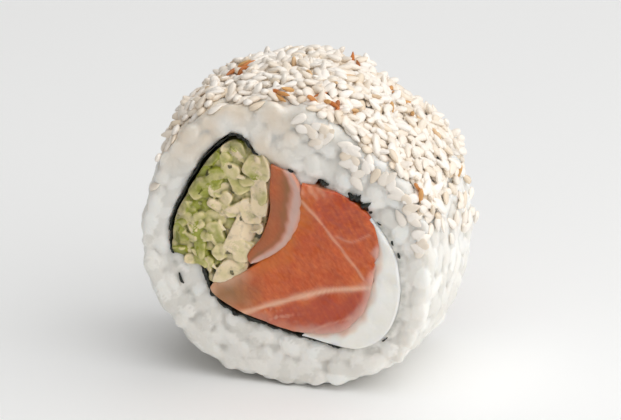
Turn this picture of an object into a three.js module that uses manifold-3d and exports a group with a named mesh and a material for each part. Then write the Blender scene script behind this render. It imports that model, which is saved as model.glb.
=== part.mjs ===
// One slice of an inside-out sushi roll (uramaki), lying on its rounded side.
// Millimetres, +Z up, the roll's axis along Y, the shown cut at -Y, the origin under the middle of the slice.
// From the outside in: a barrel of sushi rice, a sheet of nori wound once round with a short overlap, and a
// filling of a salmon bar, a folded-over strip of salmon, a bundle of cucumber and a seam of cream cheese.
import * as THREE from "three";
import { mergeVertices } from "three/addons/utils/BufferGeometryUtils.js";
import Module from "manifold-3d";

const wasm = await Module();
wasm.setup();

// --- Driving dimensions ---------------------------------------------------------------------------------
const ROLL_LENGTH = 27; // from cut to cut
const CUT_RADIUS = 22.3; // of the rice at a cut, before the presses below
const BELLY_RADIUS = 24.1; // of the rice half way along, where the slice bulges
const RIM_ROUNDING = 1.6; // radius of the edge between a cut and the side
const REST_DEPTH = 22; // from the roll's axis down to the flat that it rests on
const NORI_THICKNESS = 0.4; // of the moist sheet
const LAP_LENGTH = 7.6; // how far the sheet runs on past its inner end
const GAP = 0.3; // clearance between touching pieces
const SEED_COAT = 0.9; // what the pressed-on sesame adds to the radius
const SEED_ARC = { from: -4, to: 142, fade: 16 }; // degrees round the axis that the sesame covers
const PRESSES = [
  { at: 56, by: -1.9, over: 19 }, // the flat side that the mat left, up and to the right
  { at: 126, by: 1.2, over: 19 },
  { at: 262, by: -1, over: 20 }, // the side that it was rolled on
  { at: 326, by: 1.4, over: 24 }, // the seam, where the rice is fullest
]; // degrees, millimetres and degrees: how the hand-rolled rice departs from round
const GRAIN_RELIEF = 0.22; // height of the lumps that the grains make on the side
const SOFT_EDGE = 0.35; // rounding of the filling's edges at a cut
const SALMON_PROUD = 0.4; // how far each filling stands out of the rice at a cut
const CUCUMBER_PROUD = 0.3;
const CHEESE_PROUD = 0.1;
const BATON = { thick: 2.9, pitch: 2.6, rowPitch: 2.262, uneven: 0.7, corners: 6 }; // of the cut cucumber

const SIDES_ROUND = 96; // facets round the rice
const STEPS_ALONG = 12; // rings of facets along its bulging side
const RIM_STEPS = 3;
const OUTLINE_STEPS = 52; // facets round a filling
const NORI_STEPS = 96; // facets along the wound sheet
const LONG = ROLL_LENGTH + 10; // long enough to cut right through

// --- Section outlines, [across, up] from the roll's axis, in the plane of the cut ---------------------------
// The nori's centre line, from its inner end round to its outer end, which laps over the start.
const NORI_PATH = [
  [-12.6, -3.4],
  [-11.5, -6.9],
  [-9.7, -9.5],
  [-5.4, -11.4],
  [0.5, -13.0],
  [7.0, -14.1],
  [12.2, -14.8],
  [16.2, -12.0],
  [18.4, -6.0],
  [17.6, 1.0],
  [14.2, 6.2],
  [9.6, 9.8],
  [3.2, 12.0],
  [-3.6, 14.2],
  [-7.2, 17.4],
  [-11.4, 14.4],
  [-15.0, 8.6],
  [-17.6, 2.4],
  [-17.2, -3.2],
  [-15.8, -7.2],
  [-14.2, -9.6],
];

const SALMON_OUTLINE = [
  [3.4, 10.9],
  [8.8, 9.3],
  [12.8, 6.4],
  [14.6, 2.6],
  [14.0, -3.2],
  [12.5, -8.7],
  [9.4, -12.0],
  [3.6, -13.0],
  [-3.4, -11.7],
  [-9.2, -9.3],
  [-10.9, -7.8],
  [-11.2, -6.8],
  [-9.6, -5.9],
  [-6.6, -4.4],
  [-3.8, -2.3],
  [0.4, 0.8],
  [2.6, 4.8],
];
const STRIP_OUTLINE = [
  [-1.6, 13.6],
  [2.6, 12.2],
  [4.0, 9.0],
  [3.2, 4.2],
  [0.6, 0.2],
  [-4.0, -3.2],
  [-5.4, -1.4],
  [-3.2, 1.8],
  [-1.9, 5.6],
  [-2.0, 9.8],
];
const CUCUMBER_OUTLINE = [
  [-7.4, 17.0],
  [-1.2, 14.0],
  [-1.4, 8.0],
  [-2.6, 1.4],
  [-4.6, -1.6],
  [-5.0, -4.4],
  [-9.0, -6.6],
  [-12.6, -6.4],
  [-12.6, -3.9],
  [-17.6, -3.2],
  [-18.4, 2.4],
  [-15.6, 8.6],
  [-12.0, 14.4],
];
const CHEESE_OUTLINE = [
  [13.2, 5.8],
  [19.0, 1.6],
  [20.0, -8.0],
  [16.4, -15.0],
  [9.0, -17.4],
  [3.4, -15.2],
  [5.6, -11.6],
  [10.6, -9.4],
  [12.6, -1.0],
];

// --- Curves and solids -----------------------------------------------------------------------------------
function curvePoints(points, closed, steps) {
  const curve = new THREE.CatmullRomCurve3(
    points.map(([across, up]) => new THREE.Vector3(across, up, 0)),
    closed,
    "centripetal",
  );
  const spaced = curve.getSpacedPoints(steps).map((p) => new THREE.Vector2(p.x, p.y));
  return closed ? spaced.slice(0, -1) : spaced;
}

// Moves every point of a line to its right by `distance`; right is outwards on a counter-clockwise outline.
function offsetLine(points, distance, closed) {
  const last = points.length - 1;
  return points.map((point, i) => {
    const before = points[i > 0 ? i - 1 : closed ? last : 0];
    const after = points[i < last ? i + 1 : closed ? 0 : last];
    const along = after.clone().sub(before).normalize();
    return new THREE.Vector2(point.x + along.y * distance, point.y - along.x * distance);
  });
}

function counterClockwise(points) {
  return THREE.ShapeUtils.isClockWise(points) ? points.slice().reverse() : points;
}

// An outline in the plane of the cut, carried along the roll and centred on its length.
function prism(outline, length) {
  const geometry = new THREE.ExtrudeGeometry(new THREE.Shape(outline), {
    depth: length,
    bevelEnabled: false,
  });
  return geometry.rotateX(Math.PI / 2).translate(0, length / 2, 0);
}

function solidOf(geometry) {
  const bare = geometry.clone();
  bare.deleteAttribute("normal");
  bare.deleteAttribute("uv");
  const merged = mergeVertices(bare, 1e-4);
  return new wasm.Manifold(
    new wasm.Mesh({
      numProp: 3,
      vertProperties: new Float32Array(merged.attributes.position.array),
      triVerts: new Uint32Array(merged.index.array),
    }),
  );
}

function geometryOf(solid) {
  const mesh = solid.getMesh();
  const geometry = new THREE.BufferGeometry();
  geometry.setAttribute("position", new THREE.BufferAttribute(mesh.vertProperties, 3));
  geometry.setIndex(new THREE.BufferAttribute(mesh.triVerts, 1));
  geometry.computeVertexNormals();
  return geometry;
}

// --- The pieces ---------------------------------------------------------------------------------------------
const smooth = (x) => THREE.MathUtils.smoothstep(x, 0, 1);

// What the sesame adds at this angle, in degrees: all of SEED_COAT inside SEED_ARC, fading out past its ends.
function seedCoat(angle) {
  const { from, to, fade } = SEED_ARC;
  const middle = (from + to) / 2;
  const away = Math.abs(THREE.MathUtils.euclideanModulo(angle - middle + 180, 360) - 180);
  return SEED_COAT * (1 - smooth((away - (to - from) / 2 + fade) / (2 * fade)));
}

// How far the rice departs from round at this angle and this share of the half length: each press is a bell
// curve round the axis, and two crossed waves as long as a grain make the lumps.
function unevenness(angle, share) {
  const turn = THREE.MathUtils.degToRad(angle);
  const pressed = PRESSES.reduce((sum, { at, by, over }) => sum + by * Math.exp(-(((angle - at) / over) ** 2)), 0);
  const lumps = Math.sin(19 * turn + 4 * share) * Math.cos(7 * share - 5 * turn) + Math.sin(11 * turn - 6 * share);
  return pressed + (GRAIN_RELIEF / 2) * lumps;
}

function riceBarrel() {
  const half = ROLL_LENGTH / 2;
  const side = half - RIM_ROUNDING;
  const profile = [new THREE.Vector2(0, -half)];
  for (const end of [-1, 1]) {
    for (let i = 0; i <= RIM_STEPS; i++) {
      const turn = (Math.PI / 2) * (end < 0 ? i / RIM_STEPS : 1 - i / RIM_STEPS);
      const inset = RIM_ROUNDING * (1 - Math.sin(turn));
      const along = end * (side + RIM_ROUNDING * Math.cos(turn));
      profile.push(new THREE.Vector2(CUT_RADIUS - inset, along));
    }
    for (let i = 1; end < 0 && i < STEPS_ALONG; i++) {
      profile.push(new THREE.Vector2(CUT_RADIUS, side * ((2 * i) / STEPS_ALONG - 1)));
    }
  }
  profile.push(new THREE.Vector2(0, half));
  const barrel = new THREE.LatheGeometry(profile, SIDES_ROUND);
  const place = barrel.attributes.position;
  for (let i = 0; i < place.count; i++) {
    const [x, y, z] = [place.getX(i), place.getY(i), place.getZ(i)];
    const radius = Math.hypot(x, z);
    if (radius < 1) continue;
    const angle = THREE.MathUtils.euclideanModulo(THREE.MathUtils.radToDeg(Math.atan2(z, x)), 360);
    const share = y / half;
    const belly = 1 - share ** 2;
    const grown = (BELLY_RADIUS - CUT_RADIUS) * belly + unevenness(angle, share) + seedCoat(angle) * Math.sqrt(belly);
    place.setXYZ(i, x * (1 + grown / radius), y, z * (1 + grown / radius));
  }
  return solidOf(barrel);
}

function belowRest() {
  const size = 4 * BELLY_RADIUS;
  return solidOf(new THREE.BoxGeometry(size, size, size).translate(0, 0, -REST_DEPTH - size / 2));
}

const noriLine = curvePoints(NORI_PATH, false, NORI_STEPS);
const noriLength = noriLine.reduce((sum, point, i) => sum + (i ? point.distanceTo(noriLine[i - 1]) : 0), 0);
const lapStart = Math.round(noriLine.length * (1 - LAP_LENGTH / noriLength));

function noriSolid(clearance, length) {
  const reach = NORI_THICKNESS / 2 + clearance;
  const outer = offsetLine(noriLine, reach, false);
  const inner = offsetLine(noriLine, -reach, false);
  return solidOf(prism(outer.concat(inner.reverse()), length));
}

// The space inside the wound sheet, closed by a straight line where the lap begins.
function fillingSpace(clearance, length) {
  const turn = noriLine.slice(0, lapStart);
  return solidOf(prism(offsetLine(turn, -clearance, true), length));
}

function outlineOf(points, clearance) {
  return offsetLine(counterClockwise(curvePoints(points, true, OUTLINE_STEPS)), clearance, true);
}

// A filling that runs from cut to cut, with soft edges where it stands proud of the rice.
function filling(points, proud) {
  const length = ROLL_LENGTH + 2 * proud;
  const geometry = new THREE.ExtrudeGeometry(new THREE.Shape(outlineOf(points, 0)), {
    depth: length - 2 * SOFT_EDGE,
    bevelThickness: SOFT_EDGE,
    bevelSize: SOFT_EDGE,
    bevelOffset: -SOFT_EDGE,
    bevelSegments: 2,
  });
  return solidOf(geometry.rotateX(Math.PI / 2).translate(0, length / 2 - SOFT_EDGE, 0));
}

// What has to be cut from a filling so that it clears this one.
function roomFor(points) {
  return solidOf(prism(outlineOf(points, GAP), LONG));
}

// Batons side by side, in rows set half a pitch over from each other, round a core that joins them. Each is
// turned, thickened and cut off by chance: its ends stand up to BATON.uneven past the core's.
function cucumberBundle(points, proud) {
  const outline = outlineOf(points, 0);
  const shortest = ROLL_LENGTH + 2 * (proud - BATON.uneven);
  const box = new THREE.Box2().setFromPoints(outline);
  let bundle = solidOf(prism(outlineOf(points, -BATON.thick / 4), shortest));
  for (let row = 0, up = box.min.y; up < box.max.y; row++, up += BATON.rowPitch) {
    for (let across = box.min.x + (row % 2) * (BATON.pitch / 2); across < box.max.x; across += BATON.pitch) {
      if (!inside(across, up, outline)) continue;
      const chance = (Math.sin(12.9 * across + 78.2 * up) + 1) / 2;
      const baton = new THREE.CircleGeometry((BATON.thick / 2) * (0.9 + 0.3 * chance), BATON.corners, 3 * chance);
      const corners = [];
      for (let i = 1; i <= BATON.corners; i++) {
        const place = baton.attributes.position;
        corners.push(new THREE.Vector2(place.getX(i) + across, place.getY(i) + up));
      }
      bundle = bundle.add(solidOf(prism(corners, shortest + 2 * BATON.uneven * chance)));
    }
  }
  return bundle;
}

// Whether a point lies inside an outline: a ray to its right then crosses the outline an odd number of times.
function inside(across, up, outline) {
  let odd = false;
  outline.forEach((a, i) => {
    const b = outline[(i + 1) % outline.length];
    const crosses = a.y > up !== b.y > up && across < a.x + ((b.x - a.x) * (up - a.y)) / (b.y - a.y);
    odd = crosses ? !odd : odd;
  });
  return odd;
}

const rice = riceBarrel()
  .subtract(belowRest())
  .subtract(noriSolid(GAP, LONG))
  .subtract(fillingSpace(0, LONG));
const nori = noriSolid(0, ROLL_LENGTH);
const space = fillingSpace(NORI_THICKNESS / 2 + GAP, LONG);
const salmon = filling(SALMON_OUTLINE, SALMON_PROUD).intersect(space);
const strip = filling(STRIP_OUTLINE, SALMON_PROUD).intersect(space).subtract(roomFor(SALMON_OUTLINE));
const cucumber = cucumberBundle(CUCUMBER_OUTLINE, CUCUMBER_PROUD)
  .intersect(space)
  .subtract(roomFor(SALMON_OUTLINE))
  .subtract(roomFor(STRIP_OUTLINE));
const cheese = filling(CHEESE_OUTLINE, CHEESE_PROUD).intersect(space).subtract(roomFor(SALMON_OUTLINE));

// --- The object --------------------------------------------------------------------------------------------
function food(color, roughness) {
  return new THREE.MeshStandardMaterial({ color, roughness, metalness: 0 });
}

const PIECES = [
  { name: "rice", solid: rice, material: food(0xeeebe4, 0.5) },
  { name: "nori", solid: nori, material: food(0x14180f, 0.6) },
  { name: "salmon", solid: salmon, material: food(0xd07046, 0.3) },
  { name: "salmon_strip", solid: strip, material: food(0xb5694c, 0.3) },
  { name: "cucumber", solid: cucumber, material: food(0xc3c283, 0.4) },
  { name: "cream_cheese", solid: cheese, material: food(0xf2efe8, 0.45) },
];

const roll = new THREE.Group();
roll.name = "uramaki_roll";
for (const { name, solid, material } of PIECES) {
  const mesh = new THREE.Mesh(geometryOf(solid), material);
  mesh.name = name;
  roll.add(mesh);
}
const bounds = new THREE.Box3().setFromObject(roll);
for (const mesh of roll.children) {
  mesh.position.x = -(bounds.min.x + bounds.max.x) / 2;
  mesh.position.z = REST_DEPTH;
}

export default roll;
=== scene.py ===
"""One slice of an inside-out sushi roll (uramaki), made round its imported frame.

From the outside in: white sesame seeds, a jacket of pressed rice grains, a wound sheet of nori, and a filling
of a salmon bar, a folded-over salmon strip, cut cucumber and cream cheese. Lengths are millimetres until a
mesh is made, which is in metres. A section is the plane of the cut: across is +X and up is +Z from the roll's
axis. A turn is an angle about that axis, from +X towards +Z, and along is +Y from the roll's middle.
"""
import logging
import math
from collections.abc import Callable
from dataclasses import dataclass, field, replace
from enum import Enum

import bpy
import numpy as np
from bpy.types import Material, Mesh, Node, NodeSocket, NodeTree, Object
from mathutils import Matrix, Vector
from mathutils.bvhtree import BVHTree


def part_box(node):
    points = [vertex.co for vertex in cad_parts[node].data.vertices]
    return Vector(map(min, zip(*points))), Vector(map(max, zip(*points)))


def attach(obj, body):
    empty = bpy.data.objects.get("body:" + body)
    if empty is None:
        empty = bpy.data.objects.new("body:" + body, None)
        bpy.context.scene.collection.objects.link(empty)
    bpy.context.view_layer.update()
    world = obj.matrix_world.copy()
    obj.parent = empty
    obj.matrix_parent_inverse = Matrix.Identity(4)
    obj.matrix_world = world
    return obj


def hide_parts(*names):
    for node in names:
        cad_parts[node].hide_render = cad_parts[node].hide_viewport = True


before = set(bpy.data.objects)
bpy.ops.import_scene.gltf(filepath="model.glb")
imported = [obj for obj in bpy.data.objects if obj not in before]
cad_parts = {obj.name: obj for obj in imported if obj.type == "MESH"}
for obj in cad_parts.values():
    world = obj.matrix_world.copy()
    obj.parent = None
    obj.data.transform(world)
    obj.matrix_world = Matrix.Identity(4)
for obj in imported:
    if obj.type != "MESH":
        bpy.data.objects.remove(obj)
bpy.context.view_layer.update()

log = logging.getLogger("uramaki")
METRES = 0.001  # one millimetre
BODY = "root"
NEAR, FAR = -1, 1  # the shown cut, towards -Y, and the one behind
Array = np.ndarray
Draws = np.random.Generator
Knots = tuple[tuple[float, float], ...]  # points of the section that a line passes
Sizes = tuple[float, float, float]


# --- Numbers and lines --------------------------------------------------------------------------------------
def bell(value: Array, middle: float, width: float | Array) -> Array:
    """A bump of height 1 at middle: e to the minus square of the distance over width."""
    return np.exp(-(((value - middle) / width) ** 2))


def ease(value: Array) -> Array:
    """0 below 0, 1 above 1, and the cubic 3v^2 - 2v^3 between."""
    held = np.clip(value, 0, 1)
    return held * held * (3 - 2 * held)


def within(distance: Array, reach: float | Array, fade: float | Array) -> Array:
    """1 well inside a reach and 0 past it, easing from one to the other over a fade."""
    return ease((reach - distance) / fade)


def ripple(points: Array, length: float, seed: int) -> Array:
    """Smooth noise: the scaled sum of eight sine waves of about the given length in random directions.

    Args:
        points: places in millimetres, with coordinates on the last axis.
        length: the waves' length in millimetres.
        seed: picks the directions and starts.

    Returns:
        A value for each point, mostly within -1 to 1.
    """
    count, usual_peak = 8, 2.6
    rng = np.random.default_rng(seed)
    waves = rng.normal(size=(count, points.shape[-1]))
    uneven = rng.uniform(0.6, 1.5, (count, 1))
    waves *= (math.tau / length) * uneven / np.linalg.norm(waves, axis=1, keepdims=True)
    return np.sin(points @ waves.T + rng.uniform(0, math.tau, count)).sum(-1) / usual_peak


def unit(vectors: Array) -> Array:
    """The vectors at length 1."""
    return vectors / np.linalg.norm(vectors, axis=-1, keepdims=True)


def rays(turn: Array) -> Array:
    """Unit directions of the section at turns in radians."""
    return np.stack([np.cos(turn), np.sin(turn)], -1)


def radial(turn: Array) -> Array:
    """Unit directions away from the roll's axis, in the frame, at turns in radians."""
    return np.stack([np.cos(turn), 0 * turn, np.sin(turn)], -1)


def flowing_line(knots: Knots, closed: bool, count: int) -> Array:
    """A centripetal Catmull-Rom line: a cubic between each two knots, whose slope at a knot weighs its two
    chords by the square roots of their lengths.

    Args:
        knots: the points that it passes.
        closed: whether the last knot joins the first.
        count: how many points are wanted.

    Returns:
        count points, evenly spaced along the line.
    """
    knots = np.asarray(knots, float)
    ends = (knots[-1:], knots[:2]) if closed else (2 * knots[:1] - knots[1:2], 2 * knots[-1:] - knots[-2:-1])
    knots = np.vstack([ends[0], knots, ends[1]])
    chord = np.diff(knots, axis=0)
    step = np.sqrt(np.linalg.norm(chord, axis=1, keepdims=True))
    slope = chord[:-1] / step[:-1] - (chord[:-1] + chord[1:]) / (step[:-1] + step[1:]) + chord[1:] / step[1:]
    start, end = knots[1:-2, None], knots[2:-1, None]
    leave, arrive = (slope[:-1] * step[1:-1])[:, None], (slope[1:] * step[1:-1])[:, None]
    t = np.linspace(0, 1, 24, endpoint=False)[None, :, None]
    square = (-3 * start + 3 * end - 2 * leave - arrive) * t**2
    cubic = start + leave * t + square + (2 * start - 2 * end + leave + arrive) * t**3
    fine = np.vstack([cubic.reshape(-1, 2), knots[-2:-1]])
    run = np.concatenate([[0], np.cumsum(np.linalg.norm(np.diff(fine, axis=0), axis=1))])
    even = np.linspace(0, run[-1], count, endpoint=not closed)
    return np.stack([np.interp(even, run, fine[:, i]) for i in (0, 1)], axis=1)


def beside(line: Array, distance: float | Array) -> Array:
    """The open line moved to its right, which is outwards where it runs counter-clockwise, by a distance."""
    along = unit(np.gradient(line, axis=0))
    return line + np.stack([along[:, 1], -along[:, 0]], axis=1) * np.reshape(distance, (-1, 1))


def spanned(inner: Array, outer: Array, share: Array) -> Array:
    """Points between two lines, (steps, shares, 2): for each step, at each share of the way across."""
    return inner[:, None] + share[None, :, None] * (outer - inner)[:, None]


def ray_reach(start: Array, turn: Array, line: Array, farthest: bool) -> Array:
    """How far rays go before they cross a line: each ray and each stretch of the line are solved as two
    straight lines, and a crossing counts where it lies on the stretch and ahead of the start.

    Args:
        start: the rays' start, as (n, 2) or (2,).
        turn: the rays' directions in radians, as (n,).
        line: the line's points.
        farthest: take the last crossing and not the first.

    Returns:
        The n distances, zero or a large number where nothing is crossed.
    """
    a, b = line[:-1], np.diff(line, axis=0)
    d = rays(turn)[:, None]
    gap = a[None] - np.reshape(start, (-1, 1, 2))
    cross = d[..., 0] * b[:, 1] - d[..., 1] * b[:, 0]
    cross = np.where(np.abs(cross) < 1e-12, 1e-12, cross)
    ahead = (gap[..., 0] * b[:, 1] - gap[..., 1] * b[:, 0]) / cross
    share = (gap[..., 0] * d[..., 1] - gap[..., 1] * d[..., 0]) / cross
    hit = (share >= -1e-6) & (share <= 1 + 1e-6) & (ahead > 0)
    return np.where(hit, ahead, 0).max(1) if farthest else np.where(hit, ahead, 1e3).min(1)


def line_distance(points: Array, line: Array) -> Array:
    """How far each point is from a line of points: the nearest foot on any of its stretches.

    Args:
        points: the points, (n, 2).
        line: the line's points.

    Returns:
        The n distances.
    """
    a, b = line[:-1], np.diff(line, axis=0)
    gap = points[:, None] - a[None]
    share = np.clip((gap * b).sum(-1) / np.maximum((b * b).sum(-1), 1e-9), 0, 1)
    return np.linalg.norm(gap - share[..., None] * b, axis=-1).min(1)


def spot_distance(points: Array, spot: tuple, stretch: tuple = (1, 1)) -> Array:
    """How far each point is from a spot, with each way of the section stretched."""
    return np.linalg.norm((points - np.array(spot)) * stretch, axis=1)


def inside(points: Array, line: Array) -> Array:
    """Which points a closed line goes round: the ray to a point's right crosses it an odd number of times.

    Args:
        points: the points, (n, 2).
        line: the line's points, the last the same as the first.

    Returns:
        True or false for each point.
    """
    a, b = line[:-1], line[1:]
    over = (a[:, 1] > points[:, None, 1]) != (b[:, 1] > points[:, None, 1])
    rise = np.where(b[:, 1] == a[:, 1], 1e-9, b[:, 1] - a[:, 1])
    where = a[:, 0] + (b[:, 0] - a[:, 0]) * (points[:, None, 1] - a[:, 1]) / rise
    return (over & (points[:, None, 0] < where)).sum(1) % 2 == 1


def softened(points: Array, edges: Array, rounds: int) -> Array:
    """Points after each has moved, a number of rounds, to the mean of its neighbours.

    Args:
        points: the points, (n, 3).
        edges: pairs of neighbours, by number.
        rounds: how many.

    Returns:
        The moved points.
    """
    a, b = np.concatenate([edges, edges[:, ::-1]]).T
    share = np.bincount(a, minlength=len(points))[:, None].clip(1)
    for _ in range(rounds):
        points = np.stack([np.bincount(a, points[b, i], len(points)) for i in range(3)], 1) / share
    return points


def spread_out(candidates: Array, count: int, size: float | Array = 1.0) -> Array:
    """Picks well-spread candidates: each next one is the farthest from those picked, in its own size.

    Args:
        candidates: the places to choose from.
        count: how many to pick.
        size: each candidate's own spacing; a smaller one packs closer.

    Returns:
        The picked candidates' numbers.
    """
    picked = [0]
    nearest = np.full(len(candidates), np.inf)
    for _ in range(count - 1):
        nearest = np.minimum(nearest, np.linalg.norm(candidates - candidates[picked[-1]], axis=1) / size)
        picked.append(int(nearest.argmax()))
    return np.array(picked)


def varied(rng: Draws, sizes: Sizes, count: int, by: float, most: float) -> Array:
    """Sizes for a count of pieces, each varied at random by about a share and by no more than the most."""
    return np.array(sizes) * rng.normal(1, by, (count, 3)).clip(1 - most, 1 + most)


def frames_about(outward: Array, turn: Array, tilt: Array) -> Array:
    """Three directions for each piece: its long one lies turned in the plane across outward and is then
    tilted out of it, its thick one is as near to outward as that lets it be.

    Args:
        outward: unit vectors out of the surface, (n, 3).
        turn: angles in that plane, in radians.
        tilt: angles out of it, in radians.

    Returns:
        (n, 3, 3): long, wide and thick directions.
    """
    level = unit(np.cross(outward, np.where(np.abs(outward[:, :1]) > 0.9, [[0, 1.0, 0]], [[1.0, 0, 0]])))
    steep = np.cross(outward, level)
    flat = np.cos(turn)[:, None] * level + np.sin(turn)[:, None] * steep
    long = flat * np.cos(tilt)[:, None] + outward * np.sin(tilt)[:, None]
    thick = outward * np.cos(tilt)[:, None] - flat * np.sin(tilt)[:, None]
    return np.stack([long, np.cross(thick, long), thick], axis=1)


# --- Meshes -------------------------------------------------------------------------------------------------
@dataclass
class Skin:
    """A surface before it is a mesh: points in millimetres, faces of three or four points, named values."""

    points: Array
    quads: Array
    threes: Array
    values: dict[str, Array] = field(default_factory=dict)


def grid_skin(grid: Array, ring: bool = False, **values: Array | float) -> Skin:
    """A closed surface over a grid of points whose columns wrap round.

    Args:
        grid: points as (rows, columns, 3).
        ring: whether the rows wrap round too; otherwise each end row is closed by a fan to its own middle.
        values: named values for the grid's points.

    Returns:
        The surface, its faces pointing to the right of the rows' way and along the columns' way.
    """
    rows, columns = grid.shape[:2]
    number = np.arange(rows * columns).reshape(rows, columns)
    below = np.roll(number, -1, 0) if ring else number[1:]
    here = number if ring else number[:-1]
    quads = np.stack([here, np.roll(here, -1, 1), np.roll(below, -1, 1), below], -1).reshape(-1, 4)
    points = grid.reshape(-1, 3)
    flat = {name: np.broadcast_to(value, (rows, columns)).reshape(-1) for name, value in values.items()}
    threes = np.zeros((0, 3), int)
    if not ring:
        first, last, tip = number[0], number[-1], np.full(columns, rows * columns)
        fans = (tip, np.roll(first, -1), first), (tip + 1, last, np.roll(last, -1))
        threes = np.vstack([np.stack(fan, -1) for fan in fans])
        points = np.vstack([points, grid[0].mean(0), grid[-1].mean(0)])
        for name, value in flat.items():
            flat[name] = np.append(value, [value[first].mean(), value[last].mean()])
    return Skin(points, quads, threes, flat)


def pod(columns: int, rows: int, girth: Callable[[Array], Array], tip: float = 1.0) -> Skin:
    """A round closed body about X.

    Args:
        columns: how many points go round it.
        rows: how many rings there are between its two ends.
        girth: its radius at t, which runs along it from 1 to -1 as a cosine does.
        tip: where the end past t = 1 is; the other is at -1.

    Returns:
        The body, its two ends as its last points.
    """
    t = np.cos(np.linspace(0, math.pi, rows + 2)[1:-1])[:, None]
    turn = np.linspace(0, math.tau, columns, endpoint=False)[None]
    skin = grid_skin(np.stack([t + 0 * turn, girth(t) * np.cos(turn), girth(t) * np.sin(turn)], -1))
    skin.points[-2:, 0] = (tip, -1)
    return skin


def copies(template: Skin, points: Array, **values: Array) -> Skin:
    """Many pieces with a template's faces.

    Args:
        template: gives the faces of one.
        points: their points, as (pieces, points, 3).
        values: named values for each piece, or for each of its points.

    Returns:
        One surface of all of them.
    """
    pieces, each = points.shape[:2]
    step = (np.arange(pieces) * each)[:, None, None]
    quads = (template.quads[None] + step).reshape(-1, 4)
    threes = (template.threes[None] + step).reshape(-1, 3)
    whole = Skin(points.reshape(-1, 3), quads, threes)
    for name, value in values.items():
        whole.values[name] = np.broadcast_to(value.reshape(pieces, -1), (pieces, each)).reshape(-1)
    return whole


def together(*skins: Skin) -> Skin:
    """Several surfaces as one, with the values that all of them have.

    Args:
        skins: the surfaces.

    Returns:
        One surface.
    """
    starts = np.cumsum([0] + [len(skin.points) for skin in skins[:-1]])
    shared = set.intersection(*(set(skin.values) for skin in skins))
    return Skin(
        np.vstack([skin.points for skin in skins]),
        np.vstack([skin.quads + start for skin, start in zip(skins, starts)]),
        np.vstack([skin.threes + start for skin, start in zip(skins, starts)]),
        {name: np.concatenate([skin.values[name] for skin in skins]) for name in sorted(shared)},
    )


def read_back(items: object, name: str, width: int, kind: type = np.float32) -> Array:
    """A property of a mesh's vertices, edges or normals as an array of rows.

    Args:
        items: the mesh's items.
        name: the property.
        width: how many numbers each item has.
        kind: the numbers' type.

    Returns:
        An array of rows.
    """
    values = np.zeros(len(items) * width, kind)
    items.foreach_get(name, values)
    return values.reshape(-1, width)


def points_of(mesh: Mesh) -> Array:
    """A mesh's points in millimetres."""
    return read_back(mesh.vertices, "co", 3) / METRES


def set_points(mesh: Mesh, points: Array) -> None:
    """Gives a mesh its points, which are in millimetres."""
    mesh.vertices.foreach_set("co", (points * METRES).astype(np.float32).ravel())


def give_values(mesh: Mesh, **values: Array) -> None:
    """Stores named values for a mesh's vertices.

    Args:
        mesh: the mesh.
        values: for each name, a number for each vertex.
    """
    for name, value in values.items():
        layer = mesh.attributes.get(name) or mesh.attributes.new(name, "FLOAT", "POINT")
        layer.data.foreach_set("value", np.ascontiguousarray(value, np.float32))


def make_piece(name: str, skin: Skin) -> Object:
    """Puts a surface into a mesh object at the origin, smooth shaded, in metres.

    Args:
        name: the object's and its mesh's name.
        skin: the surface.

    Returns:
        The object.
    """
    mesh = bpy.data.meshes.new(name)
    mesh.vertices.add(len(skin.points))
    set_points(mesh, skin.points)
    sizes = np.concatenate([np.full(len(skin.quads), 4), np.full(len(skin.threes), 3)])
    mesh.loops.add(int(sizes.sum()))
    corners = np.concatenate([skin.quads.ravel(), skin.threes.ravel()])
    mesh.loops.foreach_set("vertex_index", corners.astype(np.int32))
    mesh.polygons.add(len(sizes))
    mesh.polygons.foreach_set("loop_start", (np.cumsum(sizes) - sizes).astype(np.int32))
    mesh.polygons.foreach_set("use_smooth", np.ones(len(sizes), bool))
    give_values(mesh, **skin.values)
    mesh.update(calc_edges=True)
    mesh.validate()
    piece = bpy.data.objects.new(name, mesh)
    bpy.context.scene.collection.objects.link(piece)
    return piece


def applied(piece: Object) -> Object:
    """Replaces a piece's mesh by what its modifiers make of it.

    Args:
        piece: the piece, which loses its modifiers.

    Returns:
        The same piece.
    """
    bpy.context.view_layer.update()
    seen = piece.evaluated_get(bpy.context.evaluated_depsgraph_get())
    mesh = bpy.data.meshes.new_from_object(seen)
    piece.modifiers.clear()
    piece.data = mesh
    mesh.polygons.foreach_set("use_smooth", np.ones(len(mesh.polygons), bool))
    return piece


def fused(skin: Skin, voxel: float, rounds: int) -> Skin:
    """Makes one surface of overlapping bodies and carries their values over from the nearest faces.

    Args:
        skin: the bodies, with at most three values.
        voxel: the surface's grid in millimetres.
        rounds: how often it is softened.

    Returns:
        The surface, all of four-sided faces.
    """
    names = list(skin.values)
    packed = np.ones((len(skin.points), 4), np.float32)  # the values go as a colour's channels
    packed[:, : len(names)] = np.stack([skin.values[name] for name in names], axis=1)
    before, piece = make_piece("bodies", skin), make_piece("grown", skin)
    carried = before.data.color_attributes.new("carried", "FLOAT_COLOR", "POINT")
    carried.data.foreach_set("color", packed.ravel())
    fuse = piece.modifiers.new("grown_together", "REMESH")
    fuse.mode = "VOXEL"
    fuse.voxel_size = voxel * METRES
    soften = piece.modifiers.new("softened", "SMOOTH")
    soften.factor = 0.5
    soften.iterations = rounds
    piece = applied(piece)
    piece.data.color_attributes.new("carried", "FLOAT_COLOR", "POINT")
    carry = piece.modifiers.new("carried_over", "DATA_TRANSFER")
    carry.object = before
    carry.use_vert_data = True
    carry.data_types_verts = {"COLOR_VERTEX"}
    carry.vert_mapping = "POLYINTERP_NEAREST"
    mesh = applied(piece).data
    packed = read_back(mesh.color_attributes["carried"].data, "color", 4)
    points = points_of(mesh)
    quads = read_back(mesh.loops, "vertex_index", 1, np.int32).reshape(-1, 4)
    for done in (before, piece):
        bpy.data.objects.remove(done)
    return Skin(points, quads, np.zeros((0, 3), int), dict(zip(names, packed.T)))


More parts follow.
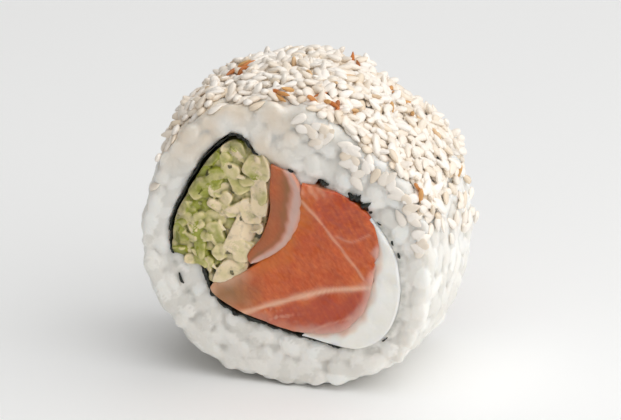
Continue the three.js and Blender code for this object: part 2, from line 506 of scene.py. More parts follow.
def sinking(mesh: Mesh, rounds: int) -> Array:
    """How deep each vertex lies below its surroundings, softened so many times, in millimetres.

    Args:
        mesh: the mesh.
        rounds: how often the surroundings are softened.

    Returns:
        A depth for each vertex, below 0 where it stands out.
    """
    points = points_of(mesh)
    outward = read_back(mesh.vertex_normals, "vector", 3)
    around = softened(points, read_back(mesh.edges, "vertices", 2, np.int32), rounds)
    return ((around - points) * outward).sum(1)


def met(tree: BVHTree, starts: Array, ways: Array) -> tuple[Array, Array]:
    """Where rays meet a surface, in millimetres, and the surface's directions outwards there.

    Args:
        tree: the surface, in metres.
        starts: the rays' starts in millimetres, (n, 3).
        ways: the rays' unit directions, (n, 3).

    Returns:
        The places and the directions, (n, 3) each.
    """
    hits = [tree.ray_cast(Vector(start), Vector(way)) for start, way in zip(starts * METRES, ways)]
    return np.array([hit[0] for hit in hits]) / METRES, np.array([hit[1] for hit in hits])


def hand_over(piece: Object, material: Material, slot: str, *nodes: str) -> None:
    """Gives a piece its material, lets it ride on the body and says what it stands for.

    Args:
        piece: the piece.
        material: its material.
        slot: the name of a slot for its material; not used.
        nodes: the CAD nodes that it replaces, if any.
    """
    piece.data.materials.clear()
    piece.data.materials.append(material)
    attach(piece, BODY)
    if nodes:
        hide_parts(*nodes)
    log.info("%s: %d faces, for %s", piece.name, len(piece.data.polygons), ", ".join(nodes) or "no CAD node")


# --- Materials ----------------------------------------------------------------------------------------------
SHARE, UNDER, OVER, MIXED = 0, 6, 7, 2  # the sockets by which a Mix node takes and gives colours


def linear(colour: str) -> tuple[float, float, float, float]:
    """An sRGB hex colour as linear red, green, blue and 1."""
    parts = [int(colour[i : i + 2], 16) / 255 for i in (1, 3, 5)]
    return (*(p / 12.92 if p <= 0.04045 else ((p + 0.055) / 1.055) ** 2.4 for p in parts), 1.0)


def add(tree: NodeTree, kind: str, inputs: dict | None = None, **settings: object) -> Node:
    """Adds a node.

    Args:
        tree: the material's nodes.
        kind: the node's type.
        inputs: its inputs by name or number, each a value or another node's output to link.
        settings: its properties.

    Returns:
        The node.
    """
    made = tree.nodes.new(kind)
    for name, value in settings.items():
        setattr(made, name, value)
    for key, value in (inputs or {}).items():
        if isinstance(value, NodeSocket):
            tree.links.new(value, made.inputs[key])
        else:
            made.inputs[key].default_value = value
    return made


def set_stops(ramp: Node, *stops: tuple[float, str]) -> NodeSocket:
    """Gives a colour ramp its stops.

    Args:
        ramp: the ramp's node.
        stops: positions and sRGB hex colours, in order.

    Returns:
        The ramp's colour.
    """
    elements = ramp.color_ramp.elements
    for position, _ in stops[2:]:
        elements.new(position)
    for element, (position, colour) in zip(elements, stops):
        element.position, element.color = position, linear(colour)
    return ramp.outputs[0]


def per_metre(size: float) -> float:
    """The scale that a noise on Object coordinates needs for features of a size in millimetres."""
    return 1 / (size * METRES)


@dataclass(frozen=True)
class Finish:
    """What every moist foodstuff here has in common: water's IOR, soft light inside and a wet skin.

    depth is how far red, green and blue light travel inside, in millimetres, and soak is the share that
    enters; relief is the height of the surface's unevenness in millimetres.
    """

    name: str
    roughness: float
    depth: Sizes
    soak: float
    coat: float
    ior: float = 1.38  # water and starch or protein
    coat_roughness: float = 0.22
    relief: float = 0.12

    def started(self) -> tuple[Material, NodeTree, Node, NodeSocket]:
        """Starts a material with its wet shader.

        Returns:
            The material, its nodes, its shader and the Object coordinates that its patterns read.
        """
        material = bpy.data.materials.new(self.name)
        material.use_nodes = True
        tree = material.node_tree
        tree.nodes.clear()
        inputs = {
            "Roughness": self.roughness,
            "IOR": self.ior,
            "Subsurface Weight": self.soak,
            "Subsurface Radius": self.depth,
            "Subsurface Scale": METRES,
            "Coat Weight": self.coat,
            "Coat Roughness": self.coat_roughness,
        }
        shader = add(tree, "ShaderNodeBsdfPrincipled", inputs)
        add(tree, "ShaderNodeOutputMaterial", {"Surface": shader.outputs[0]})
        return material, tree, shader, add(tree, "ShaderNodeTexCoord").outputs["Object"]

    def overlaid(self, tree: NodeTree, colour: NodeSocket, **shades: str) -> NodeSocket:
        """The colour, turned to each shade in its order as far as the piece's value of that name says.

        Args:
            tree: the material's nodes.
            colour: the colour to start from.
            shades: an sRGB hex colour for each value's name.

        Returns:
            The colour.
        """
        for value_name, shade in shades.items():
            value = add(tree, "ShaderNodeAttribute", attribute_name=value_name, attribute_type="GEOMETRY")
            inputs = {SHARE: value.outputs["Fac"], UNDER: colour, OVER: linear(shade)}
            colour = add(tree, "ShaderNodeMix", inputs, data_type="RGBA").outputs[MIXED]
        return colour

    def finished(self, tree: NodeTree, shader: Node, colour: NodeSocket, height: NodeSocket) -> None:
        """Links the colour and a bump of the finish's relief to the shader.

        Args:
            tree: the material's nodes.
            shader: its shader.
            colour: its base colour.
            height: what the bump follows.
        """
        tree.links.new(colour, shader.inputs["Base Color"])
        inputs = {"Strength": 1.0, "Distance": self.relief * METRES, "Height": height}
        bump = add(tree, "ShaderNodeBump", inputs)
        tree.links.new(bump.outputs[0], shader.inputs["Normal"])


@dataclass(frozen=True)
class CookedRice(Finish):
    """Steamed, vinegared and pressed short-grain rice: white and cloudy, a little see-through, moist."""

    name: str = "cooked_rice"
    roughness: float = 0.4
    depth: Sizes = (1.3, 1.2, 1.1)
    soak: float = 1.0
    coat: float = 0.2
    white: str = "#f9f6f0"
    cloudy: str = "#e3e0d9"
    # painted shade in the creases between grains
    crease: str = "#d7d4cd"
    oily: str = "#e6d8c5"  # painted shade and light bounced off the sesame
    veiled: str = "#7f8378"  # where the nori shows through a thin film of rice

    def material(self) -> Material:
        """Whiter and cloudier grains by their own tone, warmer and darker by the sesame as painted shade and
        bounced light, greyer in the creases between grains as painted shade and where the nori shows through,
        and starch as a fine uneven film.

        Returns:
            The material.
        """
        material, tree, shader, place = self.started()
        tone = add(tree, "ShaderNodeAttribute", attribute_name="tone", attribute_type="GEOMETRY")
        ramp = add(tree, "ShaderNodeValToRGB", {"Fac": tone.outputs["Fac"]})
        colour = set_stops(ramp, (0.0, self.cloudy), (1.0, self.white))
        colour = self.overlaid(tree, colour, oil=self.oily, crease=self.crease, veil=self.veiled)
        starch = add(tree, "ShaderNodeTexNoise", {"Vector": place, "Scale": per_metre(0.7), "Detail": 3.0})
        self.finished(tree, shader, colour, starch.outputs["Fac"])
        return material


@dataclass(frozen=True)
class SesameSeed(Finish):
    """Hulled white sesame, lightly toasted: oily ivory, each seed its own shade and a few browned."""

    name: str = "white_sesame"
    roughness: float = 0.45
    depth: Sizes = (0.4, 0.3, 0.2)
    soak: float = 0.0
    coat: float = 0.1
    ior: float = 1.47  # vegetable oil
    relief: float = 0.06
    shades: tuple[tuple[float, str], ...] = (
        (0.0, "#fcf6ee"),
        (0.45, "#f6ecdf"),
        (0.8, "#e9d7be"),
        (0.92, "#d8a768"),
        (0.97, "#cf7a38"),
        (1.0, "#a3602c"),
    )

    def material(self) -> Material:
        """Each seed's shade comes from its own tone, and faint ribs run about 0.4 mm apart.

        Returns:
            The material.
        """
        material, tree, shader, place = self.started()
        tone = add(tree, "ShaderNodeAttribute", attribute_name="tone", attribute_type="GEOMETRY")
        ramp = add(tree, "ShaderNodeValToRGB", {"Fac": tone.outputs["Fac"]})
        ribs = add(tree, "ShaderNodeTexNoise", {"Vector": place, "Scale": per_metre(0.4), "Detail": 2.0})
        self.finished(tree, shader, set_stops(ramp, *self.shades), ribs.outputs["Fac"])
        return material


@dataclass(frozen=True)
class RoastedNori(Finish):
    """Pressed and roasted seaweed gone moist against the rice: green-black, slightly shiny, pitted."""

    name: str = "roasted_nori"
    roughness: float = 0.42
    depth: Sizes = (0.1, 0.1, 0.1)
    soak: float = 0.0
    coat: float = 0.25
    relief: float = 0.2
    dark: str = "#0d100d"
    green: str = "#1e2419"

    def material(self) -> Material:
        """Blotches of green and black about 1.5 mm across, and the pits of the pressed fronds.

        Returns:
            The material.
        """
        material, tree, shader, place = self.started()
        blotches = add(tree, "ShaderNodeTexNoise", {"Vector": place, "Scale": per_metre(1.5), "Detail": 4.0})
        ramp = add(tree, "ShaderNodeValToRGB", {"Fac": blotches.outputs["Fac"]})
        colour = set_stops(ramp, (0.0, self.dark), (1.0, self.green))
        self.finished(tree, shader, colour, blotches.outputs["Fac"])
        return material


@dataclass(frozen=True)
class RawSalmon(Finish):
    """Raw farmed salmon, cut across: orange flesh in flakes between whitish seams of fat, wet."""

    name: str = "raw_salmon"
    roughness: float = 0.34
    depth: Sizes = (0.8, 0.45, 0.3)
    soak: float = 0.7
    coat: float = 0.4
    coat_roughness: float = 0.16
    flesh: str = "#c45320"
    pale_flesh: str = "#dc7439"
    red_flesh: str = "#b64a30"
    golden_flesh: str = "#cf7220"
    brown_flesh: str = "#a2754a"
    fat: str = "#efc3a6"
    film: str = "#dfbcb0"  # cheese that the knife dragged over the flesh
    fibre_slope: float = -39.0  # degrees
    fibre_stretch: Sizes = (1, 1.5, 2.2)

    def material(self) -> Material:
        """Flesh between orange and pale orange in 4 mm patches and in fibres 0.36 mm thick, reddened, gilded,
        browned, veined with fat and filmed over by the piece's own values; the fibres are its relief too.

        Returns:
            The material.
        """
        material, tree, shader, place = self.started()
        patches = add(tree, "ShaderNodeTexNoise", {"Vector": place, "Scale": per_metre(4.0), "Detail": 5.0})
        slope = math.radians(self.fibre_slope)
        inputs = {"Vector": place, "Rotation": (0, slope, 0), "Scale": self.fibre_stretch}
        turned = add(tree, "ShaderNodeMapping", inputs, vector_type="TEXTURE")
        inputs = {"Vector": turned.outputs[0], "Scale": per_metre(0.36), "Detail": 3.0}
        fibres = add(tree, "ShaderNodeTexNoise", inputs)
        inputs = {0: patches.outputs["Fac"], 1: fibres.outputs["Fac"]}
        summed = add(tree, "ShaderNodeMath", inputs, operation="ADD")
        inputs = {"Value": summed.outputs[0], "From Min": 0.74, "From Max": 1.26}
        spread = add(tree, "ShaderNodeMapRange", inputs)
        inputs = {SHARE: spread.outputs[0], UNDER: linear(self.flesh), OVER: linear(self.pale_flesh)}
        colour = add(tree, "ShaderNodeMix", inputs, data_type="RGBA").outputs[MIXED]
        shades = {"red": self.red_flesh, "gold": self.golden_flesh, "brown": self.brown_flesh}
        colour = self.overlaid(tree, colour, **shades, fat=self.fat, film=self.film)
        self.finished(tree, shader, colour, fibres.outputs["Fac"])
        return material


@dataclass(frozen=True)
class CutCucumber(Finish):
    """Raw cucumber cut into batons: watery and half clear, cream to pale green, with green at the skin."""

    name: str = "cut_cucumber"
    roughness: float = 0.28
    depth: Sizes = (0.6, 0.55, 0.3)
    soak: float = 0.6
    coat: float = 0.5
    cream: str = "#f3dfbe"
    pale_green: str = "#dccf9a"
    green: str = "#9da135"
    shade: str = "#46430f"  # painted shade between the batons, and the colour of dark skin flecks

    def material(self) -> Material:
        """Cream turns pale green and then green as the piece's own value rises, over watery 1.4 mm mottling,
        and goes dark olive with its other value, which is painted shade and dark skin flecks, and in painted
        shade specks about 1 mm apart.

        Returns:
            The material.
        """
        material, tree, shader, place = self.started()
        green = add(tree, "ShaderNodeAttribute", attribute_name="green", attribute_type="GEOMETRY")
        dark = add(tree, "ShaderNodeAttribute", attribute_name="dark", attribute_type="GEOMETRY")
        mottle = add(tree, "ShaderNodeTexNoise", {"Vector": place, "Scale": per_metre(1.4), "Detail": 4.0})
        painted_shade_specks = add(tree, "ShaderNodeTexNoise", {"Vector": place, "Scale": per_metre(1.0), "Detail": 2.0})
        sums = []
        # the dark value, painted shade and dark skin flecks, gains painted shade specks from the second noise
        for value, noise, low, high, least, most in (
            (green, mottle, 0.3, 0.7, -0.15, 0.15),
            (dark, painted_shade_specks, 0.52, 0.78, 0.0, 0.35),
        ):
            inputs = {"Value": noise.outputs["Fac"], "From Min": low, "From Max": high}
            spread = add(tree, "ShaderNodeMapRange", {**inputs, "To Min": least, "To Max": most})
            inputs = {0: value.outputs["Fac"], 1: spread.outputs[0]}
            sums.append(add(tree, "ShaderNodeMath", inputs, operation="ADD").outputs[0])
        ramp = add(tree, "ShaderNodeValToRGB", {"Fac": sums[0]})
        colour = set_stops(ramp, (0.1, self.cream), (0.45, self.pale_green), (0.9, self.green))
        inputs = {SHARE: sums[1], UNDER: colour, OVER: linear(self.shade)}
        shaded = add(tree, "ShaderNodeMix", inputs, data_type="RGBA")
        self.finished(tree, shader, shaded.outputs[MIXED], mottle.outputs["Fac"])
        return material


@dataclass(frozen=True)
class CreamCheese(Finish):
    """Soft fresh cheese, smeared by the knife: bright white, dense, barely shiny."""

    name: str = "cream_cheese"
    roughness: float = 0.45
    depth: Sizes = (1.2, 1.1, 0.9)
    soak: float = 0.9
    coat: float = 0.1
    white: str = "#f9f7f2"
    warm: str = "#f4eee4"
    over_salmon: str = "#efc9b3"

    def material(self) -> Material:
        """White and slightly warmer streaks about 4 mm long, tinted where it is a thin film over the salmon,
        with the knife's faint drag marks.

        Returns:
            The material.
        """
        material, tree, shader, place = self.started()
        streaks = add(tree, "ShaderNodeTexNoise", {"Vector": place, "Scale": per_metre(4.0), "Detail": 2.0})
        drag = add(tree, "ShaderNodeTexNoise", {"Vector": place, "Scale": per_metre(1.2), "Detail": 2.0})
        ramp = add(tree, "ShaderNodeValToRGB", {"Fac": streaks.outputs["Fac"]})
        colour = set_stops(ramp, (0.0, self.warm), (1.0, self.white))
        colour = self.overlaid(tree, colour, thin=self.over_salmon)
        self.finished(tree, shader, colour, drag.outputs["Fac"])
        return material


# --- The roll's section -------------------------------------------------------------------------------------
@dataclass(frozen=True)
class Section:
    """The lines of the cut, as the CAD part has them, and where the frame puts the roll's axis."""

    # fmt: off
    nori_knots: Knots = (
        (-12.6, -3.4), (-11.5, -6.9), (-9.7, -9.5), (-5.4, -11.4), (0.5, -13.0), (7.0, -14.1), (12.2, -14.8),
        (16.2, -12.0), (18.4, -6.0), (17.6, 1.0), (14.2, 6.2), (9.6, 9.8), (3.2, 12.0), (-3.6, 14.2),
        (-7.2, 17.4), (-11.4, 14.4), (-15.0, 8.6), (-17.6, 2.4), (-17.2, -3.2), (-15.8, -7.2), (-14.2, -9.6),
    )
    # fmt: on
    nori_thickness: float = 0.4
    # stretches of the nori over which the knife dragged rice, and spots where it still shows
    dragged_over: tuple[Knots, ...] = (
        ((9.6, -14.5), (13.2, 7.1)),
        ((9.6, 9.8), (-3.9, 14.4)),
        ((-17.3, -2.8), (-16.5, -5.4)),
        ((-15.5, -7.7), (-14.2, -9.6)),
    )
    showing: Knots = ((15.7, -12.8), (17.8, 0.6), (16.7, 3.0), (14.7, 5.5), (6.2, 11.0), (1.2, 12.6))
    spot_size: float = 0.75
    easing: float = 1.2  # length over which a stretch's ends fade

    @property
    def nori(self) -> Array:
        """The sheet's centre line, from its inner end round to its outer end."""
        return flowing_line(self.nori_knots, False, 400)

    @property
    def half_length(self) -> float:
        """Half the distance between the cuts, from the frame."""
        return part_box("nori")[1].y / METRES

    @property
    def axis(self) -> Array:
        """Where the roll's axis is, from the frame's nori: its box less the section's own."""
        low = np.array(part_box("nori")[0]) / METRES
        outer = beside(self.nori, self.nori_thickness / 2)
        return np.array([low[0] - outer[:, 0].min(), 0.0, low[2] - outer[:, 1].min()])

    def hidden(self, line: Array) -> Array:
        """How far each point of the nori is covered, from 0 to 1: fully along the stretches dragged over,
        with ends that fade, and less round the spots that show.

        Args:
            line: points of the sheet's centre line, in order.

        Returns:
            A share for each point.
        """
        number, covered = np.arange(len(line)), np.zeros(len(line))
        for ends in self.dragged_over:
            first, last = sorted(int(spot_distance(line, spot).argmin()) for spot in ends)
            covered[(number >= first) & (number <= last)] = 1
        window = np.hanning(2 * int(self.easing / np.linalg.norm(line[1] - line[0])) + 3)
        covered = np.convolve(np.pad(covered, len(window), mode="edge"), window / window.sum(), "same")
        covered = covered[len(window) : -len(window)]
        for spot in self.showing:
            covered = covered * (1 - bell(spot_distance(line, spot), 0, self.spot_size))
        return covered

    def placed(self, section: Array, along: Array | float) -> Array:
        """Points of the section, carried along the roll, in the frame."""
        along = np.broadcast_to(along, section.shape[:-1])
        return self.axis + np.stack([section[..., 0], along, section[..., 1]], axis=-1)

    def flat(self, points: Array) -> Array:
        """Where points of the frame are in the section."""
        return (points - self.axis)[:, [0, 2]]

    def rod(self, knots: Knots, start: float, end: float, **values: float) -> Skin:
        """A closed outline of the section carried along the roll from a start to an end, which are flat.

        Args:
            knots: the outline.
            start: where along the roll it starts.
            end: where it ends.
            values: named values, each the same all over.

        Returns:
            The surface.
        """
        rows = 7
        outline = np.repeat(flowing_line(knots, True, 60)[None, ::-1], rows, 0)
        return grid_skin(self.placed(outline, np.linspace(start, end, rows)[:, None]), **values)

    def band(
        self,
        inner: Array,
        outer: Array,
        near: Array,
        far: Array,
        share: Array,
        **values: Array,
    ) -> Skin:
        """A body between two lines, closed all round: for each step along the lines a loop runs across the
        near cut from inner to outer, back along the outer line, across the far cut and forward again.

        Args:
            inner: the line on its inner side.
            outer: the line on its outer side, with as many points.
            near: how far the near face stands from the middle, for each step and each column across it.
            far: the same for the far face.
            share: where each column across a face lies, from 0 on the inner line to 1 on the outer.
            values: for each step and each column across a face; the sides take the nearest column's.

        Returns:
            The surface.
        """
        wall = np.linspace(0, 1, 6)[1:-1]
        between = len(wall)
        loop = np.concatenate([share, np.ones(between), share[::-1], np.zeros(between)])
        run_out = -near[:, -1:] + wall * (near[:, -1:] + far[:, -1:])
        run_in = far[:, :1] - wall * (near[:, :1] + far[:, :1])
        along = np.concatenate([-near, run_out, far[:, ::-1], run_in], axis=1)
        full = {}
        for name, value in values.items():
            sides = (np.repeat(column, between, 1) for column in (value[:, -1:], value[:, :1]))
            full[name] = np.concatenate([value, next(sides), value[:, ::-1], next(sides)], axis=1)
        return grid_skin(self.placed(spanned(inner, outer, loop), along), **full)


@dataclass(frozen=True)
class Barrel:
    """The outside of the rice, without its seeds, as the CAD part has it."""

    section: Section
    cut_radius: float = 22.3
    belly_radius: float = 24.1
    rim_rounding: float = 1.6
    # where it is pressed or bulges: degrees, by how many millimetres, over how many degrees
    presses: tuple[Sizes, ...] = ((56, -1.9, 19), (126, 1.2, 19), (262, -1.0, 20), (326, 1.4, 24))
    relief: float = 0.22

    def radius(self, turn: Array, along: Array | float) -> Array:
        """The radius at a turn in radians and a place along: a cut's radius, the belly's parabola, a bell
        curve for each press, crossed waves for the lumps, less a quarter circle at the rim.

        Args:
            turn: turns in radians.
            along: places along the roll.

        Returns:
            The radii.
        """
        share = along / self.section.half_length
        degrees = np.degrees(turn) % 360
        pressed = sum(by * bell(degrees, at, over) for at, by, over in self.presses)
        lumps = np.sin(19 * turn + 4 * share) * np.cos(7 * share - 5 * turn) + np.sin(11 * turn - 6 * share)
        round_off = self.rim_rounding
        into_rim = np.clip(np.abs(along) - (self.section.half_length - round_off), 0, round_off)
        rim = round_off - np.sqrt(round_off**2 - into_rim**2)
        belly = (self.belly_radius - self.cut_radius) * (1 - share**2)
        return self.cut_radius + belly + pressed + self.relief / 2 * lumps - rim

    def place(self, turn: Array, along: Array | float, radius: Array) -> Array:
        """The point at a turn, a place along and a radius, in the frame."""
        return self.section.placed(rays(turn) * radius[..., None], along)


# --- Rice ---------------------------------------------------------------------------------------------------
@dataclass(frozen=True)
class Grains:
    """Grains, as places, three directions each (long, wide, thick), half sizes and bends, all as arrays."""

    places: Array
    directions: Array
    halves: Array
    bends: Array
    tone_spread: float = 7.3  # turns a grain's bend into its tone, which is as good as at random

    def skin(self, columns: int = 14, rows: int = 9) -> Skin:
        """Pods squared off a little at their ends and bent like a bean: the radius at t is
        (1 - |t|^2.6)^(1/2.2), and the middle is pushed sideways by bend (1 - t^2).

        Args:
            columns: how many points go round a grain.
            rows: how many rings it has.

        Returns:
            One surface, with each grain's tone.
        """
        template = pod(columns, rows, lambda t: (1 - np.abs(t) ** 2.6) ** (1 / 2.2))
        points = template.points[None] * self.halves[:, None]
        points[..., 1] += self.bends[:, None] * (1 - template.points[None, :, 0] ** 2)
        points = self.places[:, None] + np.einsum("npi,nij->npj", points, self.directions)
        return copies(template, points, tone=np.abs(self.bends * self.tone_spread) % 1)

    def resized(self, *shares: float) -> "Grains":
        """The same grains with shares of their lengths, widths and thicknesses."""
        return replace(self, halves=self.halves * shares)


@dataclass
class RiceJacket:
    """The pressed rice: real grains over a smaller core, grown together as cooked rice is."""

    section: Section
    barrel: Barrel
    finish: CookedRice = CookedRice()
    seed: int = 11
    cover: float = 1.5  # depth of the layer that the grains make over the core
    under_cut: float = 0.5  # how far the core stays behind the cuts
    clearance: float = 0.06  # from the nori's outer face
    half_grain: Sizes = (2.7, 1.38, 1.25)
    # how many grains are picked, and out of how many random places
    side_grains: tuple[int, int] = (640, 9000)
    cut_grains: tuple[int, int] = (200, 7000)
    lap_grains: tuple[int, int] = (9, 400)
    smear_grains: int = 40
    # shares of a whole grain
    lap_size: Sizes = (0.5, 0.75, 1.0)
    smear_size: Sizes = (0.72, 0.85, 0.62)
    # fmt: off
    lap_wedge: Knots = (
        (-12.9, -3.8), (-16.8, -3.0), (-15.8, -7.2), (-13.9, -9.7), (-11.8, -9.5), (-12.0, -7.0),
    )
    # fmt: on
    voxel: float = 0.355
    cut_squash: float = 0.14  # share of a grain's height that is left beyond the knife's plane
    crease_rounds: int = 10  # of softening, which find the creases between the grains
    crease_depth: float = 0.22  # millimetres below the softened surface that count as a full crease

    def inner_radius(self, turn: Array) -> Array:
        """From the axis to the nori's outer face, the outer of the two where it laps."""
        edge = beside(self.section.nori, self.section.nori_thickness / 2 + self.clearance)
        return ray_reach(np.zeros(2), turn, edge, farthest=True)

    def core(self) -> Skin:
        """A ring: round the axis by turn, and round its own section by a loop that runs back along the
        outside, in across the far cut, forward along the nori and out across the near cut.

        Returns:
            The ring.
        """
        turn = np.linspace(0, math.tau, 220, endpoint=False)
        half = self.section.half_length - self.under_cut
        back, inwards = np.linspace(-1, 1, 11), np.linspace(1, 0, 6)
        forward, outwards = np.linspace(1, -1, 6), np.linspace(0, 1, 6)
        share = np.concatenate([np.ones(11), inwards[1:], np.zeros(5), outwards[1:-1]])
        along = half * np.concatenate([back, np.ones(5), forward[1:], -np.ones(4)])
        inner = self.inner_radius(turn)[:, None]
        outer = self.barrel.radius(turn[:, None], along[None]) - self.cover
        radius = inner + share * (outer - inner)
        grid = self.barrel.place(turn[:, None] + 0 * radius, along[None] + 0 * radius, radius)
        return grid_skin(grid[:, ::-1], ring=True, tone=0.5)

    def wedge(self) -> Skin:
        """The rice between the nori's two ends: its outline carried from cut to cut."""
        half = self.section.half_length - self.under_cut
        return self.section.rod(self.lap_wedge, -half, half, tone=0.5)

    def sizes(self, rng: Draws, count: int) -> Array:
        """Half lengths, widths and thicknesses that differ by about a tenth."""
        return varied(rng, self.half_grain, count, 0.09, 0.25)

    def side(self, rng: Draws) -> Grains:
        """Grains all round the side, lying in the surface, some sunk deeper than others.

        Args:
            rng: the random draws.

        Returns:
            The grains.
        """
        count, many = self.side_grains
        half = self.section.half_length
        turn = rng.uniform(0, math.tau, many)
        along = rng.uniform(-1, 1, many) * (half - 1.1)
        chosen = spread_out(self.barrel.place(turn, along, self.barrel.radius(turn, along)), count)
        turn, along = turn[chosen], along[chosen]
        halves = self.sizes(rng, count)
        by_rim = ease((np.abs(along) - half + 3.5) / 2.5)
        sunk = halves[:, 2] + rng.uniform(0.0, 0.36, count) + 0.22 * by_rim
        way = rng.uniform(0, math.pi, count)
        directions = frames_about(radial(turn), way, rng.normal(0, 0.1, count))
        places = self.barrel.place(turn, along, self.barrel.radius(turn, along) - sunk)
        return Grains(places, directions, halves, rng.normal(0, 0.22, count))

    def cut(self, rng: Draws, end: int) -> Grains:
        """Grains in one cut face, turned every way, so that the knife's plane shows them short and long.

        Args:
            rng: the random draws.
            end: which cut, NEAR or FAR.

        Returns:
            The grains.
        """
        count, many = self.cut_grains
        margin = self.half_grain[1] * 0.9
        turn = rng.uniform(0, math.tau, many)
        inner = self.inner_radius(turn)
        rim = self.barrel.radius(turn, self.section.half_length - 0.8)
        closest = inner + margin
        radius = np.sqrt(rng.uniform(closest**2, np.maximum(rim - margin, closest + 0.1) ** 2))
        place = rays(turn) * radius[:, None]
        chosen = spread_out(place, count)
        room = np.minimum(radius - inner, rim - radius + 0.3)[chosen]
        return self.at_the_cut(rng, place[chosen], end, rng.uniform(-0.5, 0.15, count), 0.55, room)

    def lap(self, rng: Draws, end: int) -> Grains:
        """Grains between the nori's two ends.

        Args:
            rng: the random draws.
            end: which cut, NEAR or FAR.

        Returns:
            The grains.
        """
        count, many = self.lap_grains
        outline = flowing_line(self.lap_wedge, True, 40)
        middle = outline.mean(0)
        share = rng.uniform(0.1, 0.62, (many, 1))
        spots = share * (outline[rng.integers(0, len(outline), many)] - middle) + middle
        chosen = spread_out(spots, count)
        grains = self.at_the_cut(rng, spots[chosen], end, rng.uniform(-0.7, 0.0, count), 0.2)
        return grains.resized(*self.lap_size)

    def smear(self, rng: Draws, end: int) -> Grains:
        """Flattened grains that the knife dragged over the nori's edge.

        Args:
            rng: the random draws.
            end: which cut, NEAR or FAR.

        Returns:
            The grains.
        """
        line, count = self.section.nori, self.smear_grains
        spots = line[self.section.hidden(line) > 0.75]
        spots = spots[spread_out(spots, count)] + rng.normal(0, 0.25, (count, 2))
        grains = self.at_the_cut(rng, spots, end, rng.uniform(0.0, 0.22, count), 0.06)
        return grains.resized(*self.smear_size)

    def at_the_cut(
        self,
        rng: Draws,
        spots: Array,
        end: int,
        depth: Array,
        tilt: float,
        room: Array | float = 1e3,
    ) -> Grains:
        """Grains that lie in a cut, each turned its own way.

        Args:
            rng: the random draws.
            spots: their places in the section.
            end: which cut, NEAR or FAR.
            depth: how far they stand past the knife's plane.
            tilt: about how far they tilt out of it, in radians.
            room: towards the nori or the rim; a grain longer than that lies along them instead.

        Returns:
            The grains.
        """
        count = len(spots)
        turn = np.arctan2(spots[:, 1], spots[:, 0])
        way = rng.uniform(0, math.tau, count)
        lengthwise = (turn if end == NEAR else math.pi - turn) + rng.normal(0, 0.25, count)
        too_long = np.abs(np.sin(way - lengthwise)) * self.half_grain[0] > room
        way = np.where(too_long, lengthwise, way)
        outward = np.tile([0.0, end, 0.0], (count, 1))
        directions = frames_about(outward, way, rng.normal(0, tilt, count))
        halves = self.sizes(rng, count)
        along = end * (self.section.half_length - halves[:, 2] + depth)
        return Grains(self.section.placed(spots, along), directions, halves, rng.normal(0, 0.2, count))

    def press_out(self, skin: Skin) -> Skin:
        """Moves what reaches inside the nori's outer face out to it, away from the axis.

        Args:
            skin: the grains.

        Returns:
            The same surface.
        """
        turns = np.linspace(-math.pi, math.pi, 1440)
        flat = self.section.flat(skin.points)
        radius = np.linalg.norm(flat, axis=1)
        inner = np.interp(np.arctan2(flat[:, 1], flat[:, 0]), turns, self.inner_radius(turns))
        skin.points[:, [0, 2]] += flat * ((np.maximum(radius, inner) / radius) - 1)[:, None]
        return skin

    def trim(self, points: Array) -> None:
        """Presses what stands beyond a knife's plane down to a share of its height.

        Args:
            points: the points, which are changed.
        """
        half = self.section.half_length
        beyond = np.abs(points[:, 1]) - half
        squashed = np.sign(points[:, 1]) * (half + self.cut_squash * beyond)
        points[:, 1] = np.where(beyond > 0, squashed, points[:, 1])

    def settle(self, mesh: Mesh) -> None:
        """Flattens what reaches below the surface that the slice lies on, and marks the painted shade of the
        creases, which lie below the softened surface, the veil, where the nori lies under a thin film at a
        cut, and the painted shade and light bounced off the sesame, at the top and left of the middle.

        Args:
            mesh: the rice, which is changed.
        """
        points = points_of(mesh)
        # painted shade: how deep each vertex lies in a crease between grains
        crease = ease(sinking(mesh, self.crease_rounds) / self.crease_depth)
        at_cut = np.flatnonzero(np.abs(points[:, 1]) > self.section.half_length - 0.6)
        line = flowing_line(self.section.nori_knots, False, 150)
        covered = line[self.section.hidden(line) > 0.5]
        flat = self.section.flat(points[at_cut])
        nearest = np.linalg.norm(flat[:, None] - covered[None], axis=-1).min(1)
        veil = np.zeros(len(points))
        veil[at_cut] = 0.45 * bell(nearest, 0, 0.45) * (0.65 + 0.5 * ripple(flat, 2.2, 12)).clip(0, 1)
        across, up = self.section.flat(points).T
        patchy = (0.75 + 0.35 * ripple(points, 6.0, 13)).clip(0, 1)
        # painted shade and light bounced off the sesame: warmer and darker at the top and left of the cut
        oil = 0.9 * ease((up - 9) / 8) * within(across, 7, 9) * patchy
        points[:, 2] = np.maximum(points[:, 2], 0)
        set_points(mesh, points)
        give_values(mesh, crease=crease, veil=veil, oil=oil)
        mesh.update()

    def build(self) -> Object:
        """Core and grains as one skin that follows every grain, flat where it rests.

        Returns:
            The piece.
        """
        rng = np.random.default_rng(self.seed)
        skins = [self.core(), self.wedge(), self.side(rng).skin()]
        for end in (NEAR, FAR):
            skins.append(self.press_out(self.cut(rng, end).skin()))
            skins += [self.lap(rng, end).skin(), self.smear(rng, end).skin()]
        whole = together(*skins)
        self.trim(whole.points)
        piece = make_piece("rice_jacket", fused(whole, self.voxel, 2))
        self.settle(piece.data)
        return piece

    def dress(self, piece: Object) -> None:
        """Cooked rice, for the CAD node rice."""
        hand_over(piece, self.finish.material(), "rice", "rice")


